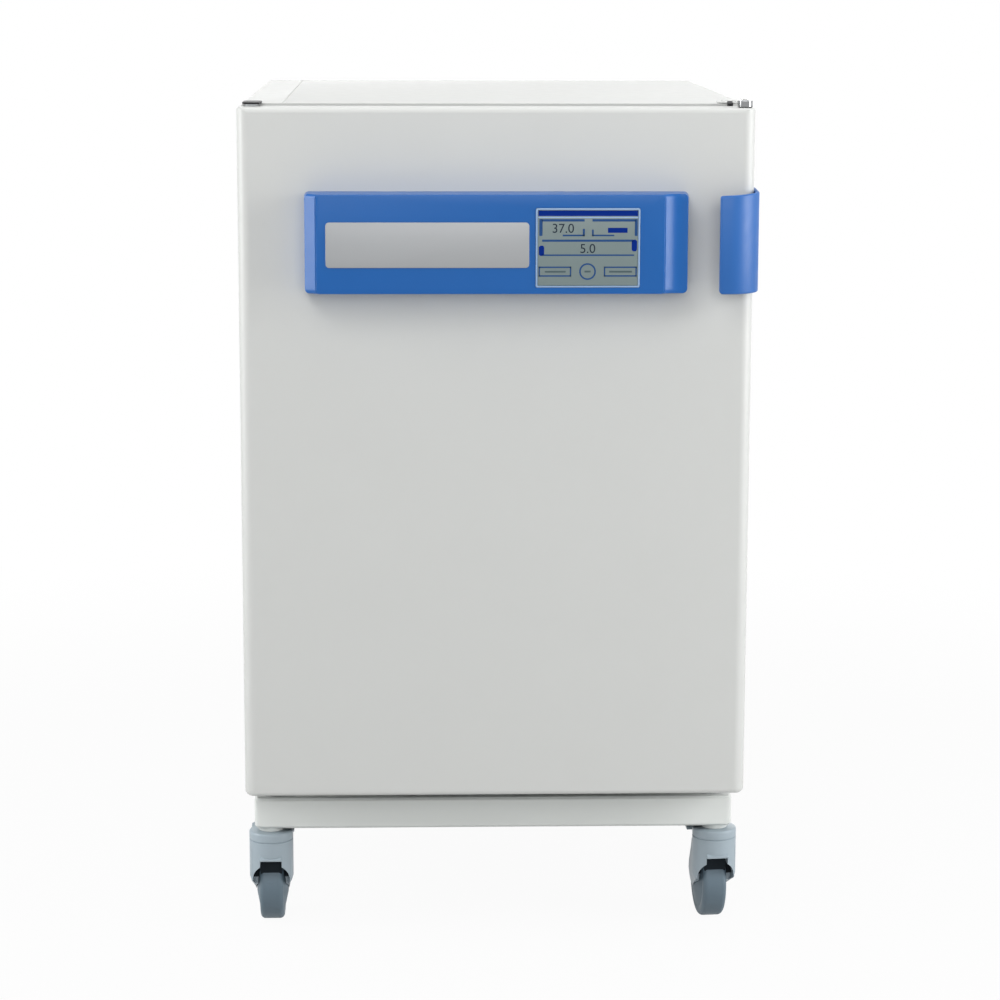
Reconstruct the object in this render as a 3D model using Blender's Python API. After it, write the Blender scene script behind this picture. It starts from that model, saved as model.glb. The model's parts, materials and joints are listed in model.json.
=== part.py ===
"""A carbon dioxide incubator on a castor stand: cabinet, chamber, two doors, shelves and rear fittings.

Metres, +Z up. The door faces -Y, and the origin is on the floor under the middle of the whole object.
"""

import math

import bmesh
import bpy
from mathutils import Matrix, Vector

MM = 0.001

# Gaps and rounding shared by all pieces
GAP = 0.3 * MM
SHEET = 2 * MM
CORNER_STEPS = 2
ROUND_SEGMENTS = 20
SMALL_SEGMENTS = 12
FOOT_SEGMENTS = 18
SMOOTH_ANGLE = math.radians(35)
OVERSHOOT = 5 * MM

# Heights above the floor
STAND_BOTTOM = 136.4 * MM
TUBE = 40 * MM
FOOT_HEIGHT = 19.4 * MM
DOOR_LIFT = 2 * MM

# Outer door
DOOR_OVERHANG = 1.5 * MM
DOOR_HEIGHT = 869.1 * MM
DOOR_THICKNESS = 60 * MM
DOOR_SIDE_ROUNDING = 15 * MM
DOOR_END_ROUNDING = 6 * MM
DOOR_CORNER = 8 * MM
LINER_SHEET = 3 * MM
RECESS_MARGIN = 46.5 * MM
RECESS_DEPTH = 25 * MM
RECESS_DRAFT = 2.5 * MM
RECESS_CORNER = 16 * MM
GASKET_MARGIN = 21.5 * MM
GASKET_WIDTH = 12 * MM
GASKET_SQUEEZE = 3 * MM
GASKET_THICKNESS = 14.4 * MM

# Cabinet
CABINET_WIDTH = 634 * MM
CABINET_DEPTH = 732 * MM
CABINET_ABOVE_DOOR = 2.5 * MM
CABINET_CORNER = 6 * MM
FRONT_FRAME_SHEET = 3 * MM
SEAM_FROM_SIDE = 52 * MM
SEAM_WIDTH = 1.4 * MM
SEAM_DEPTH = 0.9 * MM
COMPARTMENT_DEPTH = 117 * MM

# Chamber
SIDE_WALL = 82 * MM
REAR_SPACE = 202 * MM
CHAMBER_ABOVE_BASE = 112 * MM
CHAMBER_BELOW_TOP = 154.6 * MM
CHAMBER_COVE = 28 * MM
CHAMBER_FLANGE = 14 * MM
HEATER_SHEET = 2 * MM
HEATER_INSET = 70 * MM

# Stand
STAND_INSET = 7 * MM
STAND_BEHIND_DOOR_FRONT = 63 * MM
STAND_SHORT_OF_BACK = 12 * MM
STAND_CORNER = 8 * MM
TUBE_ROUNDING = 3 * MM
FOOT_DIAMETER = 38 * MM
FOOT_INSET = 30 * MM
BASE_MARGIN = 16 * MM
BASE_SHEET = 2.5 * MM
FOOT_FLARE = 3 * MM

# Castors
CASTOR_INSET = 20.5 * MM
CASTOR_TRAIL = 35 * MM
CASTOR_HEAD_DIAMETER = 57 * MM
CASTOR_HEAD_ROUNDING = 3 * MM
CASTOR_SPACER = 5.5 * MM
CASTOR_SPACER_DIAMETER = 34 * MM
CASTOR_STEM_DIAMETER = 12 * MM
CASTOR_STEM_LENGTH = 18 * MM
CASTOR_GROOVE_DROP = 12 * MM
CASTOR_GROOVE_WIDTH = 1.6 * MM
CASTOR_GROOVE_DEPTH = 1.2 * MM
CASTOR_SKIRT_BOTTOM = 62 * MM
FORK_WIDTH = 50 * MM
FORK_LOBE = 13 * MM
FORK_TOP = (24 * MM, 108 * MM)
FORK_BACK = ((31 * MM, 92 * MM), (42 * MM, 73 * MM))
FORK_LOBE_START = math.radians(20)
FORK_LOBE_END = math.radians(-150)
FORK_LOBE_STEPS = 6
WINDOW_WIDTH = 28 * MM
WINDOW_TOP = 97 * MM
ARCH_RADIUS = 20 * MM
ARCH_CENTRE = 64 * MM
WHEEL_DIAMETER = 100 * MM
WHEEL_WIDTH = 31 * MM
WHEEL_EDGE = 5 * MM
WHEEL_CLEARANCE = 2.5 * MM
WHEEL_SIDE_GAP = 0.7 * MM
WHEEL_CONE_RADIUS = 36 * MM
WHEEL_SHOULDER = (15 * MM, 20.8 * MM)
WHEEL_HUB = (10 * MM, 22.3 * MM)
AXLE_DIAMETER = 10 * MM
PEDAL_BARREL_WIDTH = 20 * MM
PEDAL_WIDTH = 56 * MM
PEDAL_THICKNESS = 4 * MM
PEDAL_LENGTH = 32 * MM
PEDAL_NECK = 9 * MM
PEDAL_CORNER = 3 * MM
PEDAL_BARREL_DIAMETER = 8 * MM
PEDAL_PIN_DIAMETER = 4 * MM
PEDAL_TILT = math.radians(8)
PEDAL_PIVOT = (34 * MM, 114 * MM)
PEDAL_LUG_WIDTH = 7 * MM
PEDAL_LUG_THICKNESS = 3 * MM
PEDAL_LUG_ROOT = 9 * MM
CASTOR_REST_SWIVEL = {1: 0.0, 2: math.radians(5), 3: 0.0, 4: 0.0}

# Door hinge and catch
HINGE_FROM_SIDE = 17 * MM
HINGE_FROM_BACK = 12 * MM
HINGE_PLATE = 2.2 * MM
HINGE_PLATE_WIDTH = 23 * MM
HINGE_PLATE_REACH = 8 * MM
HINGE_PLATE_TAIL = 14 * MM
HINGE_PIN_DIAMETER = 10 * MM
HINGE_PIN_LENGTH = 30 * MM
BUSH_DIAMETER = 16 * MM
BUSH_FLANGE = 18 * MM
CATCH_FROM_SIDE = 12 * MM
CATCH_FROM_FRONT = 21 * MM
CATCH_ROLLER_DIAMETER = 19 * MM
CATCH_ROLLER_HEIGHT = 9 * MM
CATCH_PIN_DIAMETER = 8 * MM
CATCH_PIN_DEPTH = 18 * MM
CATCH_CAP_DIAMETER = 12 * MM
CATCH_CAP_HEIGHT = 1.6 * MM
CATCH_PLATE_LEFT = 27 * MM
CATCH_PLATE_RIGHT = 2.5 * MM
CATCH_PLATE_DEPTH = 30 * MM
CATCH_PLATE_THICKNESS = 1.5 * MM
CATCH_SCREW_DIAMETER = 7.5 * MM
CATCH_SCREW_HEIGHT = 2.6 * MM
CATCH_SCREWS = (-19.5 * MM, -5.5 * MM)
KEEPER_WIDTH = 6.2 * MM
KEEPER_FROM_ROLLER = 13.4 * MM
KEEPER_REACH = 14 * MM
KEEPER_HEIGHT = 3 * MM
KEEPER_TAIL = 7 * MM
KEEPER_NOSE = 4 * MM

# Control panel on the door
PANEL_LEFT = -236 * MM
PANEL_RIGHT = 236 * MM
PANEL_FRONT_LEFT = -221 * MM
PANEL_FRONT_RIGHT = 204 * MM
PANEL_DEPTH = 42 * MM
PANEL_BOTTOM = 644.8 * MM
PANEL_HEIGHT = 123.1 * MM
PANEL_DRAFT = 1 * MM
PANEL_CORNER = 6 * MM
PANEL_EDGE = 2.5 * MM
COVE_STEPS = 6
LABEL_LEFT = -209.4 * MM
LABEL_WIDTH = 247.8 * MM
LABEL_BOTTOM = 678 * MM
LABEL_HEIGHT = 55.3 * MM
LABEL_CORNER = 4.5 * MM
LABEL_THICKNESS = 1 * MM
DISPLAY_LEFT = 46.5 * MM
DISPLAY_WIDTH = 127 * MM
DISPLAY_BOTTOM = 654 * MM
DISPLAY_HEIGHT = 97.8 * MM
DISPLAY_BEZEL = 2.2 * MM
DISPLAY_CORNER = 2 * MM
DISPLAY_PROUD = 1 * MM
DISPLAY_SUNK = 6 * MM
SCREEN_THICKNESS = 2 * MM

# Handle on the door's free edge
HANDLE_WIDTH = 46.8 * MM
HANDLE_FRONT = 40 * MM
HANDLE_THICKNESS = 5 * MM
HANDLE_TAIL_THICKNESS = 4.6 * MM
HANDLE_FLAT = 16 * MM
HANDLE_TAIL = 34 * MM
HANDLE_BOTTOM = 644.7 * MM
HANDLE_TOP_FRONT = 765.1 * MM
HANDLE_TOP_BACK = 770.2 * MM
HANDLE_CORNER_FRONT = 5 * MM
HANDLE_CORNER_BACK = 14 * MM
HANDLE_TOP_CORNER = 2.5 * MM
HANDLE_ARC_STEPS = 10

# Inner glass door
PANE_THICKNESS = 6 * MM
PANE_OVERLAP = 12 * MM
PANE_CORNER = 8 * MM
PANE_GASKET_THICKNESS = 6 * MM
PANE_GASKET_WIDTH = 8 * MM
PANE_GASKET_INSET = 2 * MM
PANE_EDGE_ROUNDING = 1 * MM
PANE_HINGE_OUT = 8 * MM
PANE_HINGE_INSET = 40 * MM
KNUCKLE_DIAMETER = 9 * MM
KNUCKLE_LENGTH = 28 * MM
KNUCKLE_PIN = 4 * MM
CLIP_LENGTH = 38 * MM
CLIP_THICKNESS = 3 * MM
HINGE_LUG = 6 * MM
HINGE_LEAF_WIDTH = 20 * MM
HINGE_LEAF_THICKNESS = 3 * MM
KNOB_FROM_EDGE = 22 * MM
KNOB_SHAFT = 12 * MM
KNOB_BOSS = 22 * MM
KNOB_FRONT = 18 * MM
KNOB_LEVER_LENGTH = 34 * MM
KNOB_LEVER_WIDTH = 9 * MM
KNOB_LEVER_DEPTH = 9 * MM
KNOB_WASHER = 2.5 * MM
KNOB_WASHER_DIAMETER = 20 * MM
TONGUE_LENGTH = 25 * MM
TONGUE_WIDTH = 9 * MM
TONGUE_THICKNESS = 2.5 * MM
LATCH_KEEPER_HEIGHT = 24 * MM
LATCH_KEEPER_WIDTH = 14 * MM
LATCH_KEEPER_SHEET = 2 * MM
LATCH_KEEPER_LIP = 7 * MM
LATCH_KEEPER_OUT = 4 * MM

# Racks, shelves and pan
RACK_SHEET = 2 * MM
RACK_STANDOFF = 3.7 * MM
RACK_FRONT_INSET = 35 * MM
RACK_BACK_INSET = 55 * MM
RACK_BOTTOM = 42 * MM
RACK_BELOW_TOP = 45 * MM
RACK_BUTTON = 10 * MM
RACK_BUTTON_INSET = 25 * MM
LEDGE_WIDTH = 13 * MM
SHELF_LEVELS = (110 * MM, 260 * MM, 410 * MM)
RACK_SLOT_COLUMNS = 3
RACK_SLOT_LENGTH = 90 * MM
RACK_SLOT_HEIGHT = 60 * MM
SHELF_SHEET = 1.6 * MM
SHELF_LIP = 12 * MM
SHELF_SIDE_GAP = 3 * MM
SHELF_SETBACK = 3 * MM
SHELF_COLUMNS = 3
SHELF_ROWS = 6
SHELF_SLOT_LENGTH = 100 * MM
SHELF_SLOT_WIDTH = 24 * MM
PAN_SIDE_INSET = 45 * MM
PAN_BACK_INSET = 90 * MM
PAN_HEIGHT = 38 * MM
PAN_SHEET = 1.6 * MM
PAN_CORNER = 20 * MM
PAN_RIM = 8 * MM
PAN_DRAFT = 4 * MM
PAN_FRONT_INSET = 60 * MM

# Fan at the chamber's back wall
FAN_BELOW_TOP = 117 * MM
FAN_DIAMETER = 120 * MM
FAN_WIDTH = 18 * MM
FAN_BLADES = 8
FAN_BLADE_THICKNESS = 1.8 * MM
FAN_BLADE_LEAN = math.radians(30)
FAN_HUB = 26 * MM
FAN_DISC = 1.8 * MM
FAN_FROM_WALL = 8 * MM
SHAFT_DIAMETER = 8 * MM
SHAFT_INTO_MOTOR = 34 * MM
SHAFT_CLEARANCE = 3 * MM
MOTOR_DIAMETER = 70 * MM
MOTOR_LENGTH = 62 * MM
MOTOR_FLANGE = 88 * MM
MOTOR_FLANGE_THICKNESS = 4 * MM
DUCT_WIDTH = 250 * MM
DUCT_HEIGHT = 170 * MM
DUCT_DEPTH = 44 * MM
DUCT_SHEET = 1.6 * MM
DUCT_CORNER = 14 * MM
DUCT_INLET = 84 * MM
DUCT_OUTLET_LENGTH = 180 * MM
DUCT_OUTLET_HEIGHT = 22 * MM

# Sensor, port and rear fittings
SENSOR_FROM_WALL = 57 * MM
SENSOR_HEIGHT = 330 * MM
SENSOR_DIAMETER = 34 * MM
SENSOR_LENGTH = 30 * MM
SENSOR_TIP = 22 * MM
PORT_FROM_WALL = 57 * MM
PORT_HEIGHT = 330 * MM
PORT_BORE = 42 * MM
PORT_WALL = 2 * MM
PORT_FLANGE = 60 * MM
PORT_FLANGE_THICKNESS = 3 * MM
PORT_PROUD = 4 * MM
PLUG_LENGTH = 42 * MM
PLUG_HEAD = 56 * MM
PLUG_HEAD_THICKNESS = 9 * MM
PLUG_TAPER = 2 * MM
REAR_SHEET = 2 * MM
FITTINGS_X = 232 * MM
INLET_HEIGHT = 95 * MM
INLET_WIDTH = 28 * MM
INLET_TALL = 48 * MM
INLET_DEPTH = 24 * MM
INLET_FLANGE = 4 * MM
INLET_FLANGE_THICKNESS = 2.5 * MM
SOCKET_WIDTH = 17 * MM
SOCKET_TALL = 25 * MM
SOCKET_DEPTH = 17 * MM
INLET_PIN = (4 * MM, 2 * MM)
SWITCH_HEIGHT = 160 * MM
SWITCH_WIDTH = 14 * MM
SWITCH_TALL = 22 * MM
SWITCH_TILT = math.radians(7)
SWITCH_FRAME = 3.5 * MM
SWITCH_DEPTH = 12 * MM
GAS_HEIGHT = 230 * MM
GAS_BODY = 30 * MM
GAS_BODY_LENGTH = 44 * MM
GAS_NOZZLE = 8 * MM
GAS_NOZZLE_LENGTH = 24 * MM
GAS_BARBS = 3
GAS_HEX = 16 * MM
SUPPLY_WIDTH = 200 * MM
SUPPLY_HEIGHT = 120 * MM
SUPPLY_DEPTH = 50 * MM
SUPPLY_BOTTOM = 60 * MM
LOUVRE_COUNT = 7
LOUVRE_LENGTH = 150 * MM
LOUVRE_HEIGHT = 5 * MM
LOUVRE_PITCH = 15 * MM
LOUVRE_BOTTOM = 70 * MM

# Places worked out from the sizes above; y runs back from the door's front face until FRONT is added
DOOR_WIDTH = CABINET_WIDTH + 2 * DOOR_OVERHANG
STAND_WIDTH = CABINET_WIDTH - 2 * STAND_INSET
CHAMBER_WIDTH = CABINET_WIDTH - 2 * SIDE_WALL
CHAMBER_DEPTH = CABINET_DEPTH - REAR_SPACE
CABINET_BOTTOM = STAND_BOTTOM + TUBE + FOOT_HEIGHT
DOOR_BOTTOM = CABINET_BOTTOM + DOOR_LIFT
DOOR_TOP = DOOR_BOTTOM + DOOR_HEIGHT
CABINET_TOP = DOOR_TOP + CABINET_ABOVE_DOOR
CABINET_FRONT = DOOR_THICKNESS + GASKET_THICKNESS + 2 * GAP
CABINET_BACK = CABINET_FRONT + CABINET_DEPTH
REAR_FACE = CABINET_BACK + GAP + REAR_SHEET
STAND_BACK = CABINET_BACK - STAND_SHORT_OF_BACK
CASTOR_X = STAND_WIDTH / 2 - CASTOR_INSET
CASTOR_FRONT_Y = STAND_BEHIND_DOOR_FRONT + CASTOR_INSET
CASTOR_REAR_Y = STAND_BACK - CASTOR_INSET
WHEEL_RADIUS = WHEEL_DIAMETER / 2
OBJECT_FRONT = -PANEL_DEPTH - GAP - LABEL_THICKNESS
OBJECT_BACK = CASTOR_REAR_Y + CASTOR_TRAIL + WHEEL_RADIUS
FRONT = -(OBJECT_FRONT + OBJECT_BACK) / 2
FRAME_BACK = CABINET_FRONT + FRONT_FRAME_SHEET
CHAMBER_BOTTOM = CABINET_BOTTOM + CHAMBER_ABOVE_BASE
CHAMBER_TOP = CABINET_TOP - CHAMBER_BELOW_TOP
CHAMBER_MIDDLE = (CHAMBER_BOTTOM + CHAMBER_TOP) / 2
LINER_FRONT = FRAME_BACK + GAP
CHAMBER_BACK = CABINET_FRONT + CHAMBER_DEPTH
CAVITY_CLEARANCE = SHEET + GAP + HEATER_SHEET + GAP
COMPARTMENT_FRONT = CABINET_BACK - COMPARTMENT_DEPTH
HINGE_X = -DOOR_WIDTH / 2 + HINGE_FROM_SIDE
HINGE_Y = DOOR_THICKNESS - HINGE_FROM_BACK
CASTOR_TOP = STAND_BOTTOM - CASTOR_SPACER
PANE_BACK = CABINET_FRONT - PANE_GASKET_THICKNESS - 2 * GAP
PANE_FRONT = PANE_BACK - PANE_THICKNESS
PANE_HALF = CHAMBER_WIDTH / 2 + PANE_OVERLAP
PANE_BOTTOM = CHAMBER_BOTTOM - PANE_OVERLAP
PANE_TOP = CHAMBER_TOP + PANE_OVERLAP
PANE_HINGE_X = -PANE_HALF - PANE_HINGE_OUT
PANE_HINGE_Y = (PANE_FRONT + PANE_BACK) / 2
KNOB_X = PANE_HALF - KNOB_FROM_EDGE
FAN_Z = CHAMBER_TOP - FAN_BELOW_TOP
RACK_DEPTH = CHAMBER_DEPTH - RACK_FRONT_INSET - RACK_BACK_INSET
HANDLE_LEFT = DOOR_WIDTH / 2 - HANDLE_WIDTH
FAN_BACK = CHAMBER_BACK - FAN_FROM_WALL
MOTOR_FRONT = COMPARTMENT_FRONT + GAP
PORT_X = PORT_FROM_WALL - CHAMBER_WIDTH / 2
PORT_Z = CHAMBER_BOTTOM + PORT_HEIGHT
SENSOR_X = CHAMBER_WIDTH / 2 - SENSOR_FROM_WALL
SENSOR_Z = CHAMBER_BOTTOM + SENSOR_HEIGHT
CATCH_X = DOOR_WIDTH / 2 - CATCH_FROM_SIDE


def clear_scene():
    for obj in list(bpy.data.objects):
        bpy.data.objects.remove(obj, do_unlink=True)


def material(name, colour, roughness, metallic=0.0, alpha=1.0):
    found = bpy.data.materials.get(name)
    if found:
        return found
    made = bpy.data.materials.new(name)
    made.use_nodes = True
    shader = made.node_tree.nodes["Principled BSDF"]
    shader.inputs["Base Color"].default_value = (*colour, 1.0)
    shader.inputs["Roughness"].default_value = roughness
    shader.inputs["Metallic"].default_value = metallic
    shader.inputs["Alpha"].default_value = alpha
    return made


def painted_white():
    return material("painted_white", (0.62, 0.63, 0.62), 0.4)


def stand_grey():
    return material("stand_grey", (0.52, 0.54, 0.55), 0.45)


def stainless():
    return material("stainless", (0.66, 0.66, 0.65), 0.28, 1.0)


def blue_plastic():
    return material("blue_plastic", (0.03, 0.13, 0.36), 0.3)


def black_steel():
    return material("black_steel", (0.03, 0.03, 0.03), 0.45, 0.6)


def rubber(name="black_rubber", colour=(0.03, 0.03, 0.035)):
    return material(name, colour, 0.7)


def castor_plastic():
    return material("castor_plastic", (0.30, 0.37, 0.40), 0.45)


def foam():
    return material("foam", (0.75, 0.68, 0.45), 0.9)


def loft(loops, closed=False):
    """A skin through loops of equal length, capped at both ends or joined end to end."""
    bm = bmesh.new()
    rows = [[bm.verts.new(point) for point in loop] for loop in loops]
    pairs = list(zip(rows, rows[1:]))
    if closed:
        pairs.append((rows[-1], rows[0]))
    for low, high in pairs:
        for i, start in enumerate(low):
            j = (i + 1) % len(low)
            bm.faces.new((start, low[j], high[j], high[i]))
    if not closed:
        bm.faces.new(rows[0])
        bm.faces.new(rows[-1])
    bmesh.ops.recalc_face_normals(bm, faces=bm.faces)
    return bm


def rounded_rectangle(low, high, radius, steps=CORNER_STEPS):
    """Corner points of a rectangle in two coordinates, with round corners."""
    (a0, b0), (a1, b1) = low, high
    radius = min(radius, 0.49 * (a1 - a0), 0.49 * (b1 - b0))
    centres = (
        (a1 - radius, b1 - radius, 0.0),
        (a0 + radius, b1 - radius, 0.25),
        (a0 + radius, b0 + radius, 0.5),
        (a1 - radius, b0 + radius, 0.75),
    )
    points = []
    for a, b, turn in centres:
        for i in range(steps + 1):
            angle = math.tau * (turn + i / steps / 4)
            points.append((a + radius * math.cos(angle), b + radius * math.sin(angle)))
    return points


def upright(low, high, radius, y, steps=CORNER_STEPS):
    """A round-cornered loop facing along Y; y is measured from the door's front face."""
    return [(x, y + FRONT, z) for x, z in rounded_rectangle(low, high, radius, steps)]


def level(low, high, radius, z, steps=CORNER_STEPS):
    """A round-cornered loop lying flat at height z."""
    return [(x, y + FRONT, z) for x, y in rounded_rectangle(low, high, radius, steps)]


def mirrored_upright(half, bottom, top, radius, y, steps=CORNER_STEPS):
    return upright((-half, bottom), (half, top), radius, y, steps)


def block(low, high):
    """A plain box between two corners; y is measured from the door's front face."""
    (x0, y0, z0), (x1, y1, z1) = low, high
    return loft(
        [
            [(x0, y0 + FRONT, z), (x1, y0 + FRONT, z), (x1, y1 + FRONT, z), (x0, y1 + FRONT, z)]
            for z in (z0, z1)
        ]
    )


def soft_block(low, high, edge):
    """A box whose edges are all rounded off by one bevel."""
    bm = block(low, high)
    bmesh.ops.bevel(
        bm, geom=list(bm.edges), offset=edge, segments=2, profile=0.5, affect="EDGES"
    )
    return bm


def turned(profile, axis, centre, closed=False, segments=ROUND_SEGMENTS):
    """A turned body: profile holds (radius, place along the axis), centre is a point on the axis."""
    across = {"X": (1, 2), "Y": (2, 0), "Z": (0, 1)}[axis]
    along = "XYZ".index(axis)
    loops = []
    for radius, place in profile:
        loop = []
        for i in range(segments):
            angle = math.tau * i / segments
            point = Vector(centre)
            point[across[0]] += radius * math.cos(angle)
            point[across[1]] += radius * math.sin(angle)
            point[along] += place
            loop.append(point)
        loops.append(loop)
    return loft(loops, closed)


def rod(axis, centre, radius, start, end, segments=ROUND_SEGMENTS):
    return turned([(radius, start), (radius, end)], axis, centre, segments=segments)


def ring(axis, centre, outer, inner, start, end, segments=ROUND_SEGMENTS):
    profile = [(outer, start), (outer, end), (inner, end), (inner, start)]
    return turned(profile, axis, centre, closed=True, segments=segments)


def prism(outline, axis, start, end):
    """An outline of two coordinates swept straight along an axis."""
    order = {"X": (0, 1, 2), "Y": (1, 2, 0), "Z": (2, 0, 1)}[axis]
    if axis == "Y":
        order = (1, 0, 2)
    loops = []
    for place in (start, end):
        loop = []
        for a, b in outline:
            point = [0.0, 0.0, 0.0]
            point[order[0]], point[order[1]], point[order[2]] = place, a, b
            loop.append(point)
        loops.append(loop)
    return loft(loops)


def mesh_of(bm, name):
    mesh = bpy.data.meshes.new(name)
    bm.to_mesh(mesh)
    bm.free()
    return mesh


def joined(parts):
    """Several bodies in one mesh, as the tool of a Boolean."""
    whole = bmesh.new()
    for part in parts:
        mesh = mesh_of(part, "tool")
        whole.from_mesh(mesh)
        bpy.data.meshes.remove(mesh)
    return whole


def combined(base, tool, operation):
    """The Boolean of two meshes, as a new mesh."""
    made = []
    for label, bm in (("base", base), ("tool", tool)):
        obj = bpy.data.objects.new(label, mesh_of(bm, label))
        bpy.context.scene.collection.objects.link(obj)
        made.append(obj)
    cut = made[0].modifiers.new("cut", "BOOLEAN")
    cut.object = made[1]
    cut.operation = operation
    cut.solver = "EXACT"
    graph = bpy.context.evaluated_depsgraph_get()
    mesh = bpy.data.meshes.new_from_object(made[0].evaluated_get(graph))
    result = bmesh.new()
    result.from_mesh(mesh)
    bpy.data.meshes.remove(mesh)
    for obj in made:
        old = obj.data
        bpy.data.objects.remove(obj, do_unlink=True)
        bpy.data.meshes.remove(old)
    return result


def cut_from(base, *tools):
    return combined(base, joined(tools), "DIFFERENCE")


def fused(base, *tools):
    """The union of a body with others, which don't touch each other."""
    return combined(base, joined(tools), "UNION")


def pivot(name, place, parent=None, turn=0.0):
    """An empty on a joint's axis, which carries the pieces of one moving body."""
    empty = bpy.data.objects.new(name, None)
    empty.empty_display_size = 0.03
    bpy.context.scene.collection.objects.link(empty)
    attach(empty, Vector(place), parent)
    empty.rotation_euler.z = turn
    return empty


def attach(obj, place, parent):
    obj.parent = parent
    obj.location = place
    if parent:
        above = parent
        while above:
            obj.location -= above.location
            above = above.parent


def node(name, bm, finish, parent=None, origin=None):
    """One named piece. Its mesh is given in the object's frame and moved onto its origin."""
    if origin is None:
        origin = Vector((0, 0, 0))
        above = parent
        while above:
            origin += above.location
            above = above.parent
    origin = Vector(origin)
    bmesh.ops.translate(bm, verts=bm.verts, vec=-origin)
    mesh = mesh_of(bm, name)
    mesh.shade_smooth()
    mesh.set_sharp_from_angle(angle=SMOOTH_ANGLE)
    mesh.materials.append(finish)
    obj = bpy.data.objects.new(name, mesh)
    bpy.context.scene.collection.objects.link(obj)
    attach(obj, origin, parent)
    return obj


def at(x, y, z):
    """A point whose y is measured from the door's front face."""
    return Vector((x, y + FRONT, z))


def cabinet_shell():
    half = CABINET_WIDTH / 2
    front, back = LINER_FRONT, CABINET_BACK

    def loop(inset, y):
        low, high = CABINET_BOTTOM + inset, CABINET_TOP - inset
        return mirrored_upright(half - inset, low, high, CABINET_CORNER - inset, y)

    shell = loft([loop(0, front), loop(0, back), loop(SHEET, back), loop(SHEET, front)], True)
    seam_x = -half + SEAM_FROM_SIDE
    seam = block(
        (seam_x, front - OVERSHOOT, CABINET_TOP - SEAM_DEPTH),
        (seam_x + SEAM_WIDTH, back + OVERSHOOT, CABINET_TOP + OVERSHOOT),
    )
    node("cabinet_shell", cut_from(shell, seam), painted_white())


def front_frame():
    half = CABINET_WIDTH / 2

    def outer(y):
        return mirrored_upright(half, CABINET_BOTTOM, CABINET_TOP, CABINET_CORNER, y)

    def inner(y):
        return mirrored_upright(CHAMBER_WIDTH / 2, CHAMBER_BOTTOM, CHAMBER_TOP, CHAMBER_COVE, y)

    front, back = CABINET_FRONT, FRAME_BACK
    frame = loft([outer(front), outer(back), inner(back), inner(front)], True)
    node("front_frame", frame, painted_white())


def chamber_loop(grow, y):
    radius = max(CHAMBER_COVE + grow, SHEET)
    return mirrored_upright(
        CHAMBER_WIDTH / 2 + grow, CHAMBER_BOTTOM - grow, CHAMBER_TOP + grow, radius, y
    )


def chamber_liner():
    """A seamless chamber: front flange, straight walls and a back wall met by a cove."""
    cove = CHAMBER_COVE
    loops = []
    for grow, side in ((SHEET, 1), (0.0, -1)):
        wall = []
        for i in range(CORNER_STEPS + 1):
            angle = math.pi / 2 * i / CORNER_STEPS
            inset = cove * (1 - math.cos(angle))
            y = CHAMBER_BACK + grow - cove * (1 - math.sin(angle))
            wall.append(chamber_loop(grow - inset, y))
        loops += wall[::-1] if side > 0 else wall
        if side > 0:
            loops.append(chamber_loop(SHEET, LINER_FRONT + SHEET))
            loops.append(chamber_loop(CHAMBER_FLANGE, LINER_FRONT + SHEET))
            loops.append(chamber_loop(CHAMBER_FLANGE, LINER_FRONT))
            loops.append(chamber_loop(0.0, LINER_FRONT))
    liner = loft(loops)
    reach = CHAMBER_BACK + SHEET + OVERSHOOT
    shaft_hole = rod("Y", at(0, 0, FAN_Z), SHAFT_DIAMETER / 2 + SHAFT_CLEARANCE,
                     CHAMBER_BACK - OVERSHOOT, reach, SMALL_SEGMENTS)
    port_hole = rod("Y", at(PORT_X, 0, PORT_Z), PORT_BORE / 2 + PORT_WALL + GAP,
                    CHAMBER_BACK - OVERSHOOT, reach)
    node("chamber_liner", cut_from(liner, shaft_hole, port_hole), stainless())


def chamber_heater():
    front, back = LINER_FRONT + HEATER_INSET, CHAMBER_BACK - HEATER_INSET
    inside, outside = SHEET + GAP, SHEET + GAP + HEATER_SHEET
    band = loft(
        [
            chamber_loop(outside, front),
            chamber_loop(outside, back),
            chamber_loop(inside, back),
            chamber_loop(inside, front),
        ],
        True,
    )
    node("chamber_heater", band, material("heater_foil", (0.75, 0.42, 0.2), 0.35, 0.8))


def insulation_jacket():
    half = CABINET_WIDTH / 2 - SHEET - GAP
    low, high = CABINET_BOTTOM + SHEET + GAP, CABINET_TOP - SHEET - GAP
    front = LINER_FRONT + SHEET + GAP
    back = COMPARTMENT_FRONT
    cavity_back = CHAMBER_BACK + SHEET + GAP
    radius = max(CABINET_CORNER - SHEET - GAP, GAP)
    jacket = loft(
        [
            mirrored_upright(half, low, high, radius, back),
            mirrored_upright(half, low, high, radius, front),
            chamber_loop(CAVITY_CLEARANCE, front),
            chamber_loop(CAVITY_CLEARANCE, cavity_back),
        ]
    )
    shaft_hole = rod("Y", at(0, 0, FAN_Z), SHAFT_DIAMETER / 2 + SHAFT_CLEARANCE,
                     CHAMBER_BACK, back + OVERSHOOT, SMALL_SEGMENTS)
    port_hole = rod("Y", at(PORT_X, 0, PORT_Z), PORT_BORE / 2 + PORT_WALL + GAP,
                    CHAMBER_BACK, back + OVERSHOOT)
    node("insulation_jacket", cut_from(jacket, shaft_hole, port_hole), foam())


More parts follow.
